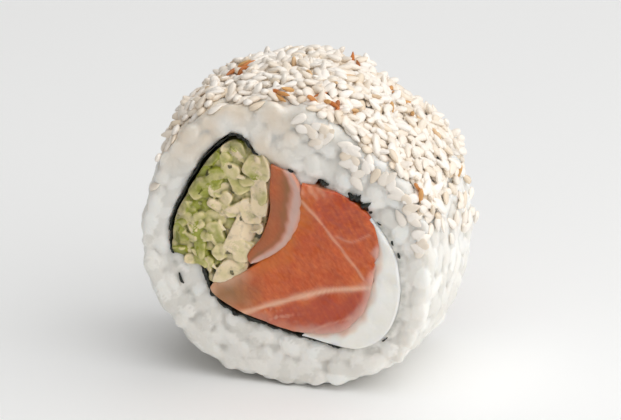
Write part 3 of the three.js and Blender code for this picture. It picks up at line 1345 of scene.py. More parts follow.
@dataclass
class SesameCoat:
    """White sesame seeds pressed on to the side of the rice, thick over the top and thin past its ends."""

    section: Section
    barrel: Barrel
    finish: SesameSeed = SesameSeed()
    seed: int = 23
    half_seed: Sizes = (1.26, 0.72, 0.44)
    toasted_half: Sizes = (0.95, 0.5, 0.8)  # shares of a seed's half sizes
    arc: tuple[float, float] = (10, 142)  # degrees that are thickly covered by the shown cut
    cut_arc: tuple[float, float] = (6, 86)
    slant: float = 16  # degrees by which the coat starts later further back
    bare_rim: float = 2.8  # width of the bare band behind the shown cut
    # how many seeds are picked, and out of how many random places
    bed: tuple[int, int] = (700, 9000)
    upper: tuple[int, int] = (540, 1100)
    stray: tuple[int, int] = (50, 190)
    on_cut: int = 46  # that lie on the shown cut
    proud: float = 0.25  # how far seeds stand out of a cut before they are pressed in
    # spots with toasted seeds: degrees, millimetres along the roll and how many
    # fmt: off
    toasted: tuple[tuple[float, float, int], ...] = (
        (113, 0.0, 5), (88, -12.0, 5), (76, -9.8, 6), (79, 10.5, 2), (58, 7.0, 3), (26, -11.5, 2),
    )
    # fmt: on
    fleck_share: float = 0.03  # of the upper seeds, which are ochre slivers

    def spots(self, rng: Draws, picked: tuple[int, int], thin: bool) -> Array:
        """Turns and places along, spread out where the coat is thick, or past its ends where it is thin.

        Args:
            rng: the random draws.
            picked: how many are wanted and out of how many random places.
            thin: whether they are the strays.

        Returns:
            (2, count): the turns in radians and the places along.
        """
        count, many = picked
        low, high = np.radians(self.arc)
        half = self.section.half_length
        turn = rng.uniform(low - 0.25, high + 0.3, many) if thin else rng.uniform(low, high, many)
        along = rng.uniform(-half + (0.6 if thin else 1.0), half - 1.0, many)
        degrees = np.degrees(turn)
        over_cut = bell(degrees, 54, 32)
        edge = -half + self.bare_rim * (1 - 0.8 * over_cut) + 1.3 * ripple(degrees[:, None], 24.0, 5)
        fade = 0.06 * ripple(along[:, None], 9.0, 6)
        late = math.radians(self.slant) * ease((along + half) / half)
        thick = (along > edge) & (turn > low + late + fade) & (turn < high + fade)
        kept = np.stack([turn, along])[:, thick != thin]
        return kept[:, spread_out(self.barrel.place(*kept, self.barrel.radius(*kept)), count)]

    def build(self, rice: Object) -> Object:
        """Lays the seeds on the grains: each one drops towards the axis until it meets the rice, and those of
        the upper layer lie on the first. A seed is a flat teardrop: its half width at t is the root of
        1 - t^2 times 1 - 0.33 t, and the thickness follows it, fuller at the blunt end.

        Args:
            rice: the rice that they lie on.

        Returns:
            The piece.
        """
        rng = np.random.default_rng(self.seed)
        tree = BVHTree.FromObject(rice, bpy.context.evaluated_depsgraph_get())
        groups = ((self.bed, False), (self.upper, False), (self.stray, True))
        turn, along = np.concatenate([self.spots(rng, *group) for group in groups], axis=1)
        layer = np.repeat([0.0, 1.0, 0.0], [self.bed[0], self.upper[0], self.stray[0]])
        count = len(turn)
        standing = rng.uniform(size=count) < 0.16 * layer
        above = self.barrel.place(turn, along, self.barrel.radius(turn, along) + 6)
        places, outward = met(tree, above, -radial(turn))
        outward = unit(outward * 0.5 + radial(turn))
        halves = varied(rng, self.half_seed, count, 0.08, 0.2)
        tilt = rng.normal(0, 0.16 + 0.22 * layer + 0.5 * standing, count)
        directions = frames_about(outward, rng.uniform(0, math.tau, count), tilt)
        rise = 0.22 + rng.uniform(0, 0.2, count) + layer * rng.uniform(0.4, 0.8, count)
        places = places + outward * rise[:, None]
        tone = self.tones(rng, turn, along, layer, halves)
        groups = (places, directions, halves), self.lying_on_cut(rng, tree)
        places, directions, halves = (np.concatenate(both) for both in zip(*groups))
        template = pod(8, 7, lambda t: np.sqrt(1 - t**2) * (1 - 0.33 * t), 1.03)
        points = places[:, None] + np.einsum("pi,ni,nij->npj", template.points, halves, directions)
        points[..., 2] = np.maximum(points[..., 2], 0.02)
        beyond = np.maximum(np.abs(points[..., 1]) - self.section.half_length - self.proud, 0)
        points[..., 1] -= np.sign(points[..., 1]) * 0.6 * beyond
        return make_piece("sesame_coat", copies(template, points, tone=tone))

    def tones(self, rng: Draws, turn: Array, along: Array, layer: Array, halves: Array) -> Array:
        """Each seed's tone, from ivory at 0 to browned at 1, browner towards the left as painted shade, with
        those on the cut last.

        Args:
            rng: the random draws.
            turn: the side seeds' turns in radians.
            along: their places along the roll.
            layer: 1 for the upper ones.
            halves: their half sizes, which are made smaller where a seed is a fleck or toasted.

        Returns:
            The tones of the side's and the cut's seeds.
        """
        count = len(turn)
        tone = rng.beta(1.7, 2.4, count + self.on_cut) * 0.84
        # painted shade: browner tones on the seeds towards the left, past a turn of about 108 degrees
        tone[:count] += 0.16 * ease((np.degrees(turn) - 108) / 24)
        flecks = np.flatnonzero(rng.uniform(size=count) < self.fleck_share * layer)
        tone[flecks] = rng.uniform(0.86, 0.94, len(flecks))
        halves[flecks] *= self.toasted_half
        for degrees, at, number in self.toasted:
            off = [turn - math.radians(degrees), (along - at) / self.barrel.cut_radius, 0.08 * (1 - layer)]
            chosen = np.linalg.norm(np.stack(off, -1), axis=1).argsort()[: 2 * number : 2]
            tone[chosen] = rng.uniform(0.92, 1.0, number)
            halves[chosen] *= self.toasted_half
        return tone

    def lying_on_cut(self, rng: Draws, tree: BVHTree) -> tuple[Array, Array, Array]:
        """Places, directions and half sizes of the seeds that lie flat on the shown cut, near its rim.

        Args:
            rng: the random draws.
            tree: the rice's surface, in metres.

        Returns:
            The three arrays.
        """
        count, cut = self.on_cut, -self.section.half_length
        turn = np.radians(rng.uniform(*self.cut_arc, count))
        inset = np.abs(rng.normal(0, 1.7, count)) + 0.7
        start = self.barrel.place(turn, cut - 4, self.barrel.radius(turn, cut + 1.6) - inset)
        places, outward = met(tree, start, np.tile([0.0, 1.0, 0.0], (count, 1)))
        outward = unit(outward * 0.4 + (0, -0.6, 0))
        directions = frames_about(outward, rng.uniform(0, math.tau, count), rng.normal(0, 0.12, count))
        return places + 0.22 * outward, directions, varied(rng, self.half_seed, count, 0.08, 0.2)

    def dress(self, piece: Object) -> None:
        """Hulled white sesame."""
        hand_over(piece, self.finish.material(), "rice")


# --- Nori ---------------------------------------------------------------------------------------------------
@dataclass
class NoriSheet:
    """The wound seaweed sheet, its cut edges torn a little ragged."""

    section: Section
    finish: RoastedNori = RoastedNori()
    ragged: float = 0.3
    sunk: float = 1.0  # how deep the edge lies where rice is dragged over it
    half_thickness: float = 0.12
    # fmt: off
    # where it is crumpled: across, up, and how much thicker it is there
    crumples: tuple[Sizes, ...] = (
        (-6.4, 16.6, 0.3), (11.6, 8.4, 0.85), (-12.2, -4.8, 0.3), (-10.8, -8.0, 0.3), (-7.6, -10.5, 0.3),
        (-4.4, -11.7, 0.25), (5.0, -13.8, 0.1), (8.2, -14.3, 0.1),
    )
    # fmt: on
    crumple_size: float = 1.5

    def build(self) -> Object:
        """A band on each side of the centre line, whose near and far edges wander.

        Returns:
            The piece.
        """
        line = flowing_line(self.section.nori_knots, False, 520)
        line = beside(line, 0.12 * ripple(line, 3.0, 41))
        hidden = self.section.hidden(line)
        crumpled, thicker = 0 * hidden, 0 * hidden
        for *spot, by in self.crumples:
            near = bell(spot_distance(line, spot), 0, self.crumple_size)
            crumpled = np.maximum(crumpled, near)
            thicker = np.maximum(thicker, by * near * (1 + 0.6 * ripple(line, 1.0, 46)))
        edges = []
        for seed in (42, 43):
            torn = self.ragged * (ripple(line, 2.0, seed) + 0.5 * ripple(line, 0.7, seed + 5))
            back = self.section.half_length - 0.1
            edge = back + torn.clip(-0.8, 0.3) - self.sunk * hidden + 0.3 * crumpled
            edges.append(np.repeat(edge[:, None], 3, 1) + np.array([0, 0.06, 0]))
        reach = self.half_thickness + 0.04 * ripple(line, 3.0, 44) + 0.02 * ripple(line, 0.8, 45)
        inner, outer = beside(line, -reach), beside(line, reach + thicker)
        return make_piece("nori_sheet", self.section.band(inner, outer, *edges, np.linspace(0, 1, 3)))

    def dress(self, piece: Object) -> None:
        """Roasted nori, for the CAD node nori."""
        hand_over(piece, self.finish.material(), "nori", "nori")


# --- Filling ------------------------------------------------------------------------------------------------
@dataclass
class SalmonBar:
    """The thick bar of salmon: flesh in flakes between seams of fat that run from cut to cut."""

    section: Section
    finish: RawSalmon
    # fmt: off
    left_knots: Knots = (
        (3.0, 10.9), (2.5, 8.0), (2.1, 4.8), (0.2, 1.0), (-3.8, -2.3), (-6.6, -4.4), (-9.4, -5.7),
        (-11.0, -6.4), (-11.4, -7.1),
    )
    right_knots: Knots = (
        (3.0, 10.9), (9.2, 9.5), (13.3, 6.6), (14.8, 2.7), (14.0, -3.2), (12.5, -8.7), (9.4, -11.9),
        (3.6, -12.9), (-3.4, -11.6), (-9.2, -9.3), (-11.0, -7.9), (-11.4, -7.1),
    )
    # fmt: on
    proud: float = 0.3
    soft_edge: float = 0.45
    thick_seam: Knots = ((-8.6, -11.4), (-6.2, -10.5), (-2.3, -9.0), (3.5, -6.8), (8.9, -5.2), (13.4, -4.5))
    # each with how much fat shows
    thin_seams: tuple[tuple[float, Knots], ...] = (
        (0.55, ((3.0, 8.2), (5.4, 5.7), (9.3, 0.9), (12.6, -3.2))),
        (0.28, ((8.3, 3.1), (10.5, 2.5), (13.4, 3.9))),
        (0.3, ((4.4, -12.4), (7.0, -11.0), (10.6, -9.6))),
    )
    thick_seam_width: float = 0.42
    thin_seam_width: float = 0.23
    cheese_side: Knots = ((14.6, 1.6), (14.1, -3.2), (12.6, -8.7), (9.5, -12.0), (3.6, -13.4))
    # spots of the section: where fat shows at the top, where it is reddest, its tip, and where it is flecked
    top: tuple[float, float] = (5.2, 10.4)
    reddest: tuple[float, float] = (10.0, 7.0)
    tip: tuple[float, float] = (-10.5, -7.0)
    flecked: tuple[float, float] = (-1.5, -10.6)

    def fat(self, flat: Array, brown: Array) -> Array:
        """How much fat shows at points of the section: a bell across each seam, whose width wanders, and
        pale zones at the top, in flecks low down, along the nori, and along the tip's upper side.

        Args:
            flat: the points.
            brown: how browned they are, which covers the seams.

        Returns:
            A share for each point.
        """
        wander = 1 + 0.35 * ripple(flat, 4.0, 51)
        distance = line_distance(flat, flowing_line(self.thick_seam, False, 60))
        fat = 0.9 * bell(distance, 0, self.thick_seam_width * wander)
        for strength, seam in self.thin_seams:
            distance = line_distance(flat, flowing_line(seam, False, 50))
            fat = np.maximum(fat, strength * bell(distance, 0, self.thin_seam_width * wander))
        at_top = spot_distance(flat, self.top, (0.7, 1)) + 0.5 * ripple(flat, 1.6, 58)
        fat = np.maximum(fat, 0.45 * bell(at_top, 0, 1.2))
        flecks = 0.45 * bell(spot_distance(flat, self.flecked, (0.5, 1)), 0, 1.6)
        fat = np.maximum(fat, flecks * ease(ripple(flat, 1.3, 55)))
        by_nori = line_distance(flat, flowing_line(self.right_knots[7:10], False, 60))
        fat = np.maximum(fat, 0.3 * within(by_nori, 2.2 + 0.5 * ripple(flat, 2.6, 60), 2.2))
        fat = fat * (1 - 0.6 * brown)
        along_tip = line_distance(flat, flowing_line(self.left_knots[5:], False, 40))
        return np.maximum(fat, 0.5 * within(along_tip, 2.4 + 0.2 * ripple(flat, 3.0, 56), 2.4))

    def marks(self, flat: Array) -> dict[str, Array]:
        """How much fat, reddening, gilding, browning and cheese film each point of the section has: redder
        under the thick seam and at the upper right, golden by the strip, brown towards the tip and filmed
        over along the cheese.

        Args:
            flat: points of the section, (n, 2).

        Returns:
            For each name, a share for each point.
        """
        under = flat[:, 1] - (-7.6 + 0.36 * (flat[:, 0] - 3)) + 0.6 * ripple(flat, 5.0, 52)
        by_top = bell(spot_distance(flat, self.reddest) + 1.2 * ripple(flat, 4.0, 57), 0, 5.5)
        red = np.maximum(0.75 * within(under, 0.6, 2.2), 0.6 * by_top)
        red = (red + (0.14 + 0.22 * by_top) * ripple(flat, 1.0, 61)).clip(0, 1)
        from_tip = spot_distance(flat, self.tip, (1, 1.3)) + 0.35 * ripple(flat, 4.0, 54)
        brown = 0.95 * within(from_tip, 9.0, 7.0)
        by_strip = line_distance(flat, flowing_line(self.left_knots[1:5], False, 60))
        gold = 0.6 * within(by_strip, 3.0 + 0.6 * ripple(flat, 3.0, 59), 2.6)
        edge = line_distance(flat, flowing_line(self.cheese_side, False, 80))
        width = (1.0 + 0.6 * ripple(flat, 3.2, 53) + 0.12 * (3.0 - flat[:, 1])).clip(0.3, 2.6)
        film = 0.72 * within(edge, width, width)
        return {"fat": self.fat(flat, brown), "red": red, "gold": gold, "brown": brown, "film": film}

    def build(self) -> Object:
        """A band from the top to the tip between its left and right lines. A cut stands proud and falls to a
        soft rim, with seams a little raised and flakes as low waves.

        Returns:
            The piece.
        """
        left, right = (flowing_line(knots, False, 170) for knots in (self.left_knots, self.right_knots))
        share = 0.5 - 0.5 * np.cos(np.linspace(0, math.pi, 60))
        flat = spanned(left, right, share)
        size = flat.shape[:2]
        inset = line_distance(flat.reshape(-1, 2), np.vstack([left, right[::-1]])).reshape(size)
        depth = np.clip(1 - inset / self.soft_edge, 0, 1)
        edge = self.soft_edge * (1 - np.sqrt(1 - depth**2)) * 0.5
        marks = {name: value.reshape(size) for name, value in self.marks(flat.reshape(-1, 2)).items()}
        faces = []
        for seed in (61, 62):
            flakes = 0.1 * ripple(flat, 5.0, seed) + 0.05 * ripple(flat, 1.6, seed + 2)
            faces.append(self.section.half_length + self.proud - edge + flakes + 0.1 * marks["fat"])
        return make_piece("salmon_bar", self.section.band(left, right, *faces, share, **marks))

    def dress(self, piece: Object) -> None:
        """Raw salmon, for the CAD node salmon."""
        hand_over(piece, self.finish.material(), "salmon", "salmon")


@dataclass
class SalmonStrip:
    """The folded-over strip between the bar and the cucumber: brown flesh with a broad white edge of fat."""

    section: Section
    finish: RawSalmon
    left_knots: Knots = ((-1.8, 13.4), (-2.0, 9.8), (-2.0, 6.0), (-3.3, 1.9), (-5.5, -1.3), (-5.3, -2.2))
    right_knots: Knots = ((1.6, 12.2), (3.0, 9.6), (2.6, 5.0), (0.5, 0.8), (-3.4, -2.0), (-4.9, -2.6))
    proud: float = 0.2
    dome: float = 0.22
    fat_from: float = 0.52  # share of the width past which it is fat
    fat_over: float = 0.3  # share of the width over which flesh turns to fat

    def build(self) -> Object:
        """A band between its left and right lines, gently domed across each cut.

        Returns:
            The piece.
        """
        left, right = (flowing_line(knots, False, 90) for knots in (self.left_knots, self.right_knots))
        share = np.linspace(0, 1, 22)
        flat = spanned(left, right, share)
        dome = self.dome * np.sqrt(np.clip(1 - (2 * share[None] - 1) ** 6, 0, 1))
        taper = np.minimum(1, np.linalg.norm(right - left, axis=1) / 1.5)[:, None]
        level = self.section.half_length + self.proud
        faces = [level + dome * taper + 0.07 * ripple(flat, 4.0, seed) for seed in (71, 72)]
        edge = self.fat_from + 0.04 * ripple(flat, 7.0, 73) + 0.02 * ripple(flat, 1.5, 74)
        fatty = ease((share - edge) / self.fat_over)
        fat = 0.72 * fatty * (1 - 0.6 * ease((share - 0.86) / 0.14))
        by_fat = 0.28 * bell(share - edge, 0, 0.1)
        brown = (0.5 + by_fat + 0.08 * ripple(flat, 5.0, 75)).clip(0, 1) * (1 - fatty)
        # on the strip the film value greys its fat with the folded copy's film colour, partly painted shade
        marks = {"fat": fat, "brown": brown, "red": 0.6 * brown, "film": 0.9 * fat}
        return make_piece("salmon_strip_fold", self.section.band(left, right, *faces, share, **marks))

    def dress(self, piece: Object) -> None:
        """Raw salmon, for the CAD node salmon_strip."""
        hand_over(piece, self.finish.material(), "salmon", "salmon_strip")


@dataclass
class CreamCheeseSeam:
    """The cream cheese between the salmon and the nori, smeared by the knife."""

    section: Section
    finish: CreamCheese = CreamCheese()
    dragged: float = 0.5  # how far it is smeared over the salmon's edge
    # fmt: off
    inner_knots: Knots = (
        (13.0, 6.3), (14.9, 2.6), (14.3, -3.2), (12.8, -8.8), (9.6, -12.15), (3.8, -13.1),
    )
    outer_knots: Knots = (
        (13.6, 6.4), (17.1, 1.0), (17.95, -6.0), (15.9, -11.8), (12.0, -14.35), (3.0, -13.3),
    )
    # fmt: on

    def build(self) -> Object:
        """A band from the salmon's edge, over which it is dragged in ragged tongues, to the nori, with the
        low waves of a smear on each cut.

        Returns:
            The piece.
        """
        inner, outer = (flowing_line(knots, False, 240) for knots in (self.inner_knots, self.outer_knots))
        ragged = 1 + 0.5 * ripple(inner, 4.0, 83) + 0.1 * ripple(inner, 1.4, 84)
        tongues = (self.dragged * ragged).clip(0.1, 2)
        inner = beside(inner, tongues)
        share = np.linspace(0, 1, 26) ** 1.5
        flat = spanned(inner, outer, share)
        across = share[None] * np.linalg.norm(outer - inner, axis=1)[:, None]
        lip = 0.3 * ease(across / 1.6) - 0.08 * ease((across - 1.6) / 1.5)
        faces = [self.section.half_length + 0.08 + lip + 0.09 * ripple(flat, 4.5, seed) for seed in (81, 82)]
        thin = 0.9 * within(across, tongues[:, None] + 0.8 + 0.3 * ripple(flat, 3.2, 85), 1.2)
        return make_piece("cream_cheese_seam", self.section.band(inner, outer, *faces, share, thin=thin))

    def dress(self, piece: Object) -> None:
        """Cream cheese, for the CAD node cream_cheese."""
        hand_over(piece, self.finish.material(), "cream_cheese", "cream_cheese")


@dataclass
class CucumberBatons:
    """Cut cucumber: batons of many thicknesses packed anyhow, small and green by the nori, larger and cream
    towards the salmon, with shreds left lying across the cuts."""

    section: Section
    finish: CutCucumber = CutCucumber()
    seed: int = 31
    # fmt: off
    outline_knots: Knots = (
        (-7.3, 16.7), (-2.2, 13.5), (-2.2, 8.2), (-3.3, 1.8), (-5.3, -1.9), (-6.0, -4.5), (-9.4, -6.1),
        (-11.6, -6.1), (-12.3, -4.0), (-16.9, -3.0), (-17.2, 2.2), (-14.6, 8.4), (-11.0, 14.0),
    )
    # fmt: on
    nori_side: Knots = ((-4.0, 15.0), (-7.3, 17.0), (-11.0, 14.2), (-14.8, 8.4), (-17.4, 2.2), (-17.1, -2.8))
    batons: tuple[int, int] = (120, 6000)  # how many are picked, and out of how many random places
    smallest: float = 1.9
    largest: float = 4.6
    packing: float = 0.55  # a baton's half width as a share of its spacing
    shreds: int = 24
    fleck_every: int = 3  # every third shred is a dark fleck of skin
    half_shred: Sizes = (1.0, 0.32, 0.24)
    fleck_half: Sizes = (0.5, 1.1, 1.6)  # shares of a shred's half sizes
    core_depth: float = 0.9  # of the bundle below the cuts, painted dark olive as shade
    cap: float = 3.0  # how far the batons' ends reach in
    voxel: float = 0.15
    # how a baton's end is rounded off: shares of its radius and how deep the surface lies there
    rings: tuple[float, ...] = (0.12, 0.6, 0.9, 1.0, 1.0)
    drops: tuple[float, ...] = (0.0, 0.0, 0.03, 0.16, 0.4)

    def size_at(self, flat: Array) -> Array:
        """How wide the batons are: least by the nori on the left and at the ends, most near the salmon."""
        share = ease((flat[:, 0] + 13.0 - 0.2 * flat[:, 1]) / 6) * (0.7 + 0.45 * ripple(flat, 5.0, 32))
        return self.smallest + (self.largest - self.smallest) * share.clip(0, 1)

    def tint(self, rng: Draws, flat: Array) -> Array:
        """How green a piece is: more towards the nori on the left, and by chance."""
        by_place = 0.05 + 0.48 * within(flat[:, 0], -6.0, 6) + 0.28 * ease((flat[:, 1] - 2) / 8)
        return (by_place + rng.normal(0, 0.2, len(flat))).clip(0, 0.95)

    def girth(self, rng: Draws, centre: Array, half: Array, turn: Array, shut: Array) -> Array:
        """The radius of each baton's section: an oblong's, (|cos/a|^p + |sin/b|^p)^(-1/p), taken softly with
        the distance to the bundle's outline, (r^-9 + d^-9)^(-1/9).

        Args:
            rng: the random draws.
            centre: the batons' middles in the section.
            half: their half widths.
            turn: the directions round each, (batons, columns).
            shut: the bundle's closed outline.

        Returns:
            A radius for each direction.
        """
        count, softness = len(centre), 9.0
        about = turn - rng.uniform(0, math.pi, (count, 1))
        longer, shorter = ((half * rng.uniform(*by, count))[:, None] for by in ((1.0, 1.5), (0.6, 1.0)))
        power = rng.uniform(2.6, 5.0, (count, 1))
        oblong = np.abs(np.cos(about) / longer) ** power + np.abs(np.sin(about) / shorter) ** power
        wall = ray_reach(np.repeat(centre, turn.shape[1], 0), turn.ravel(), shut, False).reshape(turn.shape)
        return (oblong ** (softness / power) + wall**-softness) ** (-1 / softness)

    def ends(self, rng: Draws, centre: Array, half: Array, shut: Array) -> Skin:
        """The batons' ends at each cut, over the bundle's core. Rows run from the middle of an end out and
        back along its side, each end slopes its own way, and some batons have green skin on one side.

        Args:
            rng: the random draws.
            centre: the batons' middles in the section.
            half: their half widths.
            shut: the bundle's closed outline.

        Returns:
            One surface with the values green and dark.
        """
        count, columns = len(centre), 24
        turn = np.linspace(0, math.tau, columns, endpoint=False)[None] + 0 * half[:, None]
        spoke = rays(turn) * self.girth(rng, centre, half, turn, shut)[..., None]
        rings, drops = (np.array(numbers)[None, :, None] for numbers in (self.rings, self.drops))
        rows = np.append(self.rings, 1.0)[:, None]
        flat = centre[:, None, None] + rows[..., None] * spoke[:, None]
        tint = self.tint(rng, centre)
        skin_side = rng.uniform(0, math.tau, (count, 1))
        has_skin = rng.uniform(size=count) < 0.6 - 0.45 * ease((centre[:, 0] + 12) / 7)
        facing = ease((np.cos(turn - skin_side) - 0.1) / 0.6)[:, None] * ease((rows - 0.3) / 0.6)
        green = (tint[:, None, None] + has_skin[:, None, None] * facing * 0.5).clip(0, 1)
        template = grid_skin(np.zeros((len(rows), columns, 3)))
        parts = []
        for end in (NEAR, FAR):
            slope = np.einsum("nc,nkc->nk", rng.normal(0, 0.3, (count, 2)), spoke)[:, None]
            height = rng.uniform(-0.85, 0.35, (count, 1, 1)) - drops + rings * slope
            foot = np.full((count, 1, columns), -self.cap)
            height = np.concatenate([np.minimum(height, 0.4), foot], axis=1)
            points = self.section.placed(flat, end * (self.section.half_length + height))
            points, shades = points[:, :, ::-end], green[:, :, ::-end]
            tips = np.stack([points[:, 0].mean(1), points[:, -1].mean(1)], 1)
            tip_shades = np.stack([shades[:, 0].mean(1), shades[:, -1].mean(1)], 1)
            shades = np.concatenate([shades.reshape(count, -1), tip_shades], axis=1)
            points = np.concatenate([points.reshape(count, -1, 3), tips], axis=1)
            parts.append(copies(template, points, green=shades, dark=0 * shades))
        return together(*parts)

    def scraps(self, rng: Draws, spots: Array) -> Skin:
        """Shreds, thin and a little bent, that lie across the batons' ends every way.

        Args:
            rng: the random draws.
            spots: places in the section to choose from.

        Returns:
            One surface with the values green and dark.
        """
        count = self.shreds
        spots = spots[line_distance(spots, flowing_line(self.outline_knots, True, 120)) > 1.3]
        spots = spots[spread_out(spots, count)]
        dark = 0.9 * (np.arange(count) % self.fleck_every == 0)
        parts = []
        for end in (NEAR, FAR):
            at = spots + rng.normal(0, 0.25, (count, 2))
            way, tilt = rng.uniform(0, math.pi, count), rng.normal(0, 0.16, count)
            halves = np.array(self.half_shred) * rng.uniform(0.5, 1.3, (count, 3))
            halves[:: self.fleck_every] *= self.fleck_half
            directions = frames_about(np.tile([0.0, end, 0.0], (count, 1)), way, tilt)
            places = self.section.placed(at, end * (self.section.half_length + 0.08))
            skin = Grains(places, directions, halves, rng.normal(0, 0.25, count)).skin(8, 7)
            each = len(skin.points) // count
            skin.values = {"green": np.repeat(self.tint(rng, at), each), "dark": np.repeat(dark, each)}
            parts.append(skin)
        return together(*parts)

    def shade(self, mesh: Mesh) -> None:
        """Paints shade, darker and greener, in the gaps between the batons, darker by the nori and towards
        the strip, and paints highlights, paler, on the rims that stand out.

        Args:
            mesh: the batons, whose values are changed.
        """
        green, dark = (read_back(mesh.attributes[name].data, "value", 1)[:, 0] for name in ("green", "dark"))
        flat = self.section.flat(points_of(mesh))
        from_nori = line_distance(flat, np.array(self.nori_side))
        # painted shade by the nori, and a little darker towards the strip
        by_nori = 0.4 * within(from_nori, 1.3 + 0.7 * ripple(flat, 3.0, 33), 1.2)
        by_strip = 0.14 * ease((flat[:, 0] + 6.5) / 3)
        sunk = sinking(mesh, 16)
        # painted shade in the gaps between batons and painted highlights on the rims that stand out
        gap, rim = ease(sunk / 0.3), ease(-sunk / 0.18)
        dark = np.maximum(dark + by_nori + by_strip, gap).clip(0, 1)
        give_values(mesh, green=(green + 0.3 * gap - 0.25 * rim).clip(0, 1), dark=dark)

    def build(self) -> Object:
        """Batons of rounded oblong section, overlapping at random over a bundle painted dark olive as shade,
        and the shreds. Only the ends are grown together: a plain middle joins them.

        Returns:
            The piece.
        """
        rng = np.random.default_rng(self.seed)
        count, many = self.batons
        outline = flowing_line(self.outline_knots, True, 120)
        shut = np.vstack([outline, outline[:1]])
        spots = rng.uniform(outline.min(0), outline.max(0), (many, 2))
        spots = spots[inside(spots, shut) & (line_distance(spots, shut) > 0.35)]
        size = self.size_at(spots)
        chosen = spread_out(spots, count, size)
        top, foot = (self.section.half_length - depth for depth in (self.core_depth, self.cap))
        # the bundle's core, painted dark olive as the shade deep between the batons
        *cores, middle = (
            self.section.rod(self.outline_knots, *ends, green=0.5, dark=0.8)
            for ends in ((-top, -foot), (foot, top), (-foot, foot))
        )
        ends = self.ends(rng, spots[chosen], size[chosen] * self.packing, shut)
        caps = fused(together(*cores, ends, self.scraps(rng, spots)), self.voxel, 1)
        piece = make_piece("cucumber_batons", together(caps, middle))
        self.shade(piece.data)
        return piece

    def dress(self, piece: Object) -> None:
        """Cut cucumber, for the CAD node cucumber."""
        hand_over(piece, self.finish.material(), "cucumber", "cucumber")


# --- Studio -------------------------------------------------------------------------------------------------
class Light(Enum):
    """The studio's soft lights: azimuth and elevation in degrees as seen from the slice, distance and size in
    metres, and power in watts."""

    KEY = (80.0, 66.0, 1.0, 1.7, 11.2)
    FRONT = (66.0, 24.0, 0.18, 0.17, 0.045)


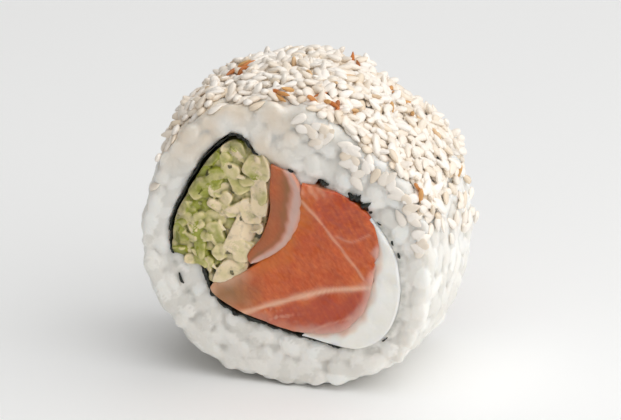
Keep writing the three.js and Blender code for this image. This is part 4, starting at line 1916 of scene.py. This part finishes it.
@dataclass(frozen=True)
class Studio:
    """A pale table, soft lights and the camera."""

    azimuth: float = 16.0
    elevation: float = 20.0
    focal_length: float = 200.0
    sensor: float = 36.0
    frame_width: float = 94.7  # millimetres that the picture is wide at the slice
    aim: Sizes = (0.0, 0.0, 23.7)
    table: str = "#fafaf9"
    table_roughness: float = 0.6
    table_size: float = 3.0  # metres
    sky: tuple[float, float] = (0.12, 0.62)  # its strengths on the dim and the bright side
    sky_azimuth: float = 80.0

    def direction(self, azimuth: float, elevation: float) -> Vector:
        """The unit vector from the slice at an azimuth, where 0 is -Y and 90 is +X, and an elevation."""
        a, e = math.radians(azimuth), math.radians(elevation)
        return Vector((math.sin(a) * math.cos(e), -math.cos(a) * math.cos(e), math.sin(e)))

    def stand(self, name: str, data: bpy.types.ID, azimuth: float, elevation: float, distance: float) -> None:
        """Puts a light or camera round the slice at a distance in metres and turns it to the aim.

        Args:
            name: the object's name.
            data: the light or camera.
            azimuth: in degrees.
            elevation: in degrees.
            distance: in metres.
        """
        thing = bpy.data.objects.new(name, data)
        aim = Vector(self.aim) * METRES
        thing.location = aim + self.direction(azimuth, elevation) * distance
        thing.rotation_euler = (aim - thing.location).to_track_quat("-Z", "Y").to_euler()
        bpy.context.scene.collection.objects.link(thing)

    def build_table(self) -> None:
        """A flat pale sheet just under the slice."""
        half = self.table_size / 2
        mesh = bpy.data.meshes.new("table")
        corners = [(-half, -half, 0), (half, -half, 0), (half, half, 0), (-half, half, 0)]
        mesh.from_pydata(corners, [], [(0, 1, 2, 3)])
        table = bpy.data.objects.new("table", mesh)
        bpy.context.scene.collection.objects.link(table)
        material = bpy.data.materials.new("painted_board")
        material.use_nodes = True
        shader = material.node_tree.nodes["Principled BSDF"]
        shader.inputs["Base Color"].default_value = linear(self.table)
        shader.inputs["Roughness"].default_value = self.table_roughness
        mesh.materials.append(material)

    def build_light(self, light: Light) -> None:
        """One square soft light.

        Args:
            light: which one.
        """
        azimuth, elevation, distance, size, power = light.value
        data = bpy.data.lights.new(light.name.lower(), "AREA")
        data.size = size
        data.energy = power
        self.stand(data.name, data, azimuth, elevation, distance)

    def build_sky(self) -> None:
        """White light from all round, brightest from one side and dimmest from the opposite one."""
        world = bpy.data.worlds.new("studio")
        world.use_nodes = True
        tree = world.node_tree
        place = add(tree, "ShaderNodeTexCoord").outputs["Generated"]
        inputs = {0: place, 1: self.direction(self.sky_azimuth, 0)}
        facing = add(tree, "ShaderNodeVectorMath", inputs, operation="DOT_PRODUCT").outputs["Value"]
        dim, bright = self.sky
        inputs = {"Value": facing, "From Min": -1.0, "From Max": 1.0, "To Min": dim, "To Max": bright}
        strength = add(tree, "ShaderNodeMapRange", inputs)
        background = tree.nodes["Background"]
        background.inputs["Color"].default_value = linear("#ffffff")
        tree.links.new(strength.outputs[0], background.inputs["Strength"])
        bpy.context.scene.world = world

    def build_camera(self) -> None:
        """A long lens, far enough away for the frame's width."""
        data = bpy.data.cameras.new("camera")
        data.lens = self.focal_length
        data.sensor_width = self.sensor
        data.clip_start = 0.01
        distance = self.frame_width * METRES * self.focal_length / self.sensor
        self.stand("camera", data, self.azimuth, self.elevation, distance)
        bpy.context.scene.camera = bpy.data.objects["camera"]

    def build(self) -> None:
        """Makes the table, the lights, the sky and the camera."""
        self.build_table()
        for light in Light:
            self.build_light(light)
        self.build_sky()
        bpy.context.scene.view_settings.view_transform = "Standard"
        self.build_camera()


def main() -> None:
    """Builds the slice from the outside in, then the studio round it."""
    logging.basicConfig(level=logging.INFO, format="%(name)s %(message)s")
    section = Section()
    barrel = Barrel(section)
    # the strip's copy of the salmon has browner flesh and greyer fat: partly the strip's own colour, partly
    # painted shade of the strip
    salmon, folded = RawSalmon(), RawSalmon(name="folded_salmon_with_painted_shade", brown_flesh="#98683e", film="#c5b0ad")
    jacket = RiceJacket(section, barrel)
    rice = jacket.build()
    jacket.dress(rice)
    coat = SesameCoat(section, barrel)
    coat.dress(coat.build(rice))
    for part in (
        NoriSheet(section),
        SalmonBar(section, salmon),
        SalmonStrip(section, folded),
        CucumberBatons(section),
        CreamCheeseSeam(section),
    ):
        part.dress(part.build())
    Studio().build()


if __name__ == "__main__":
    main()
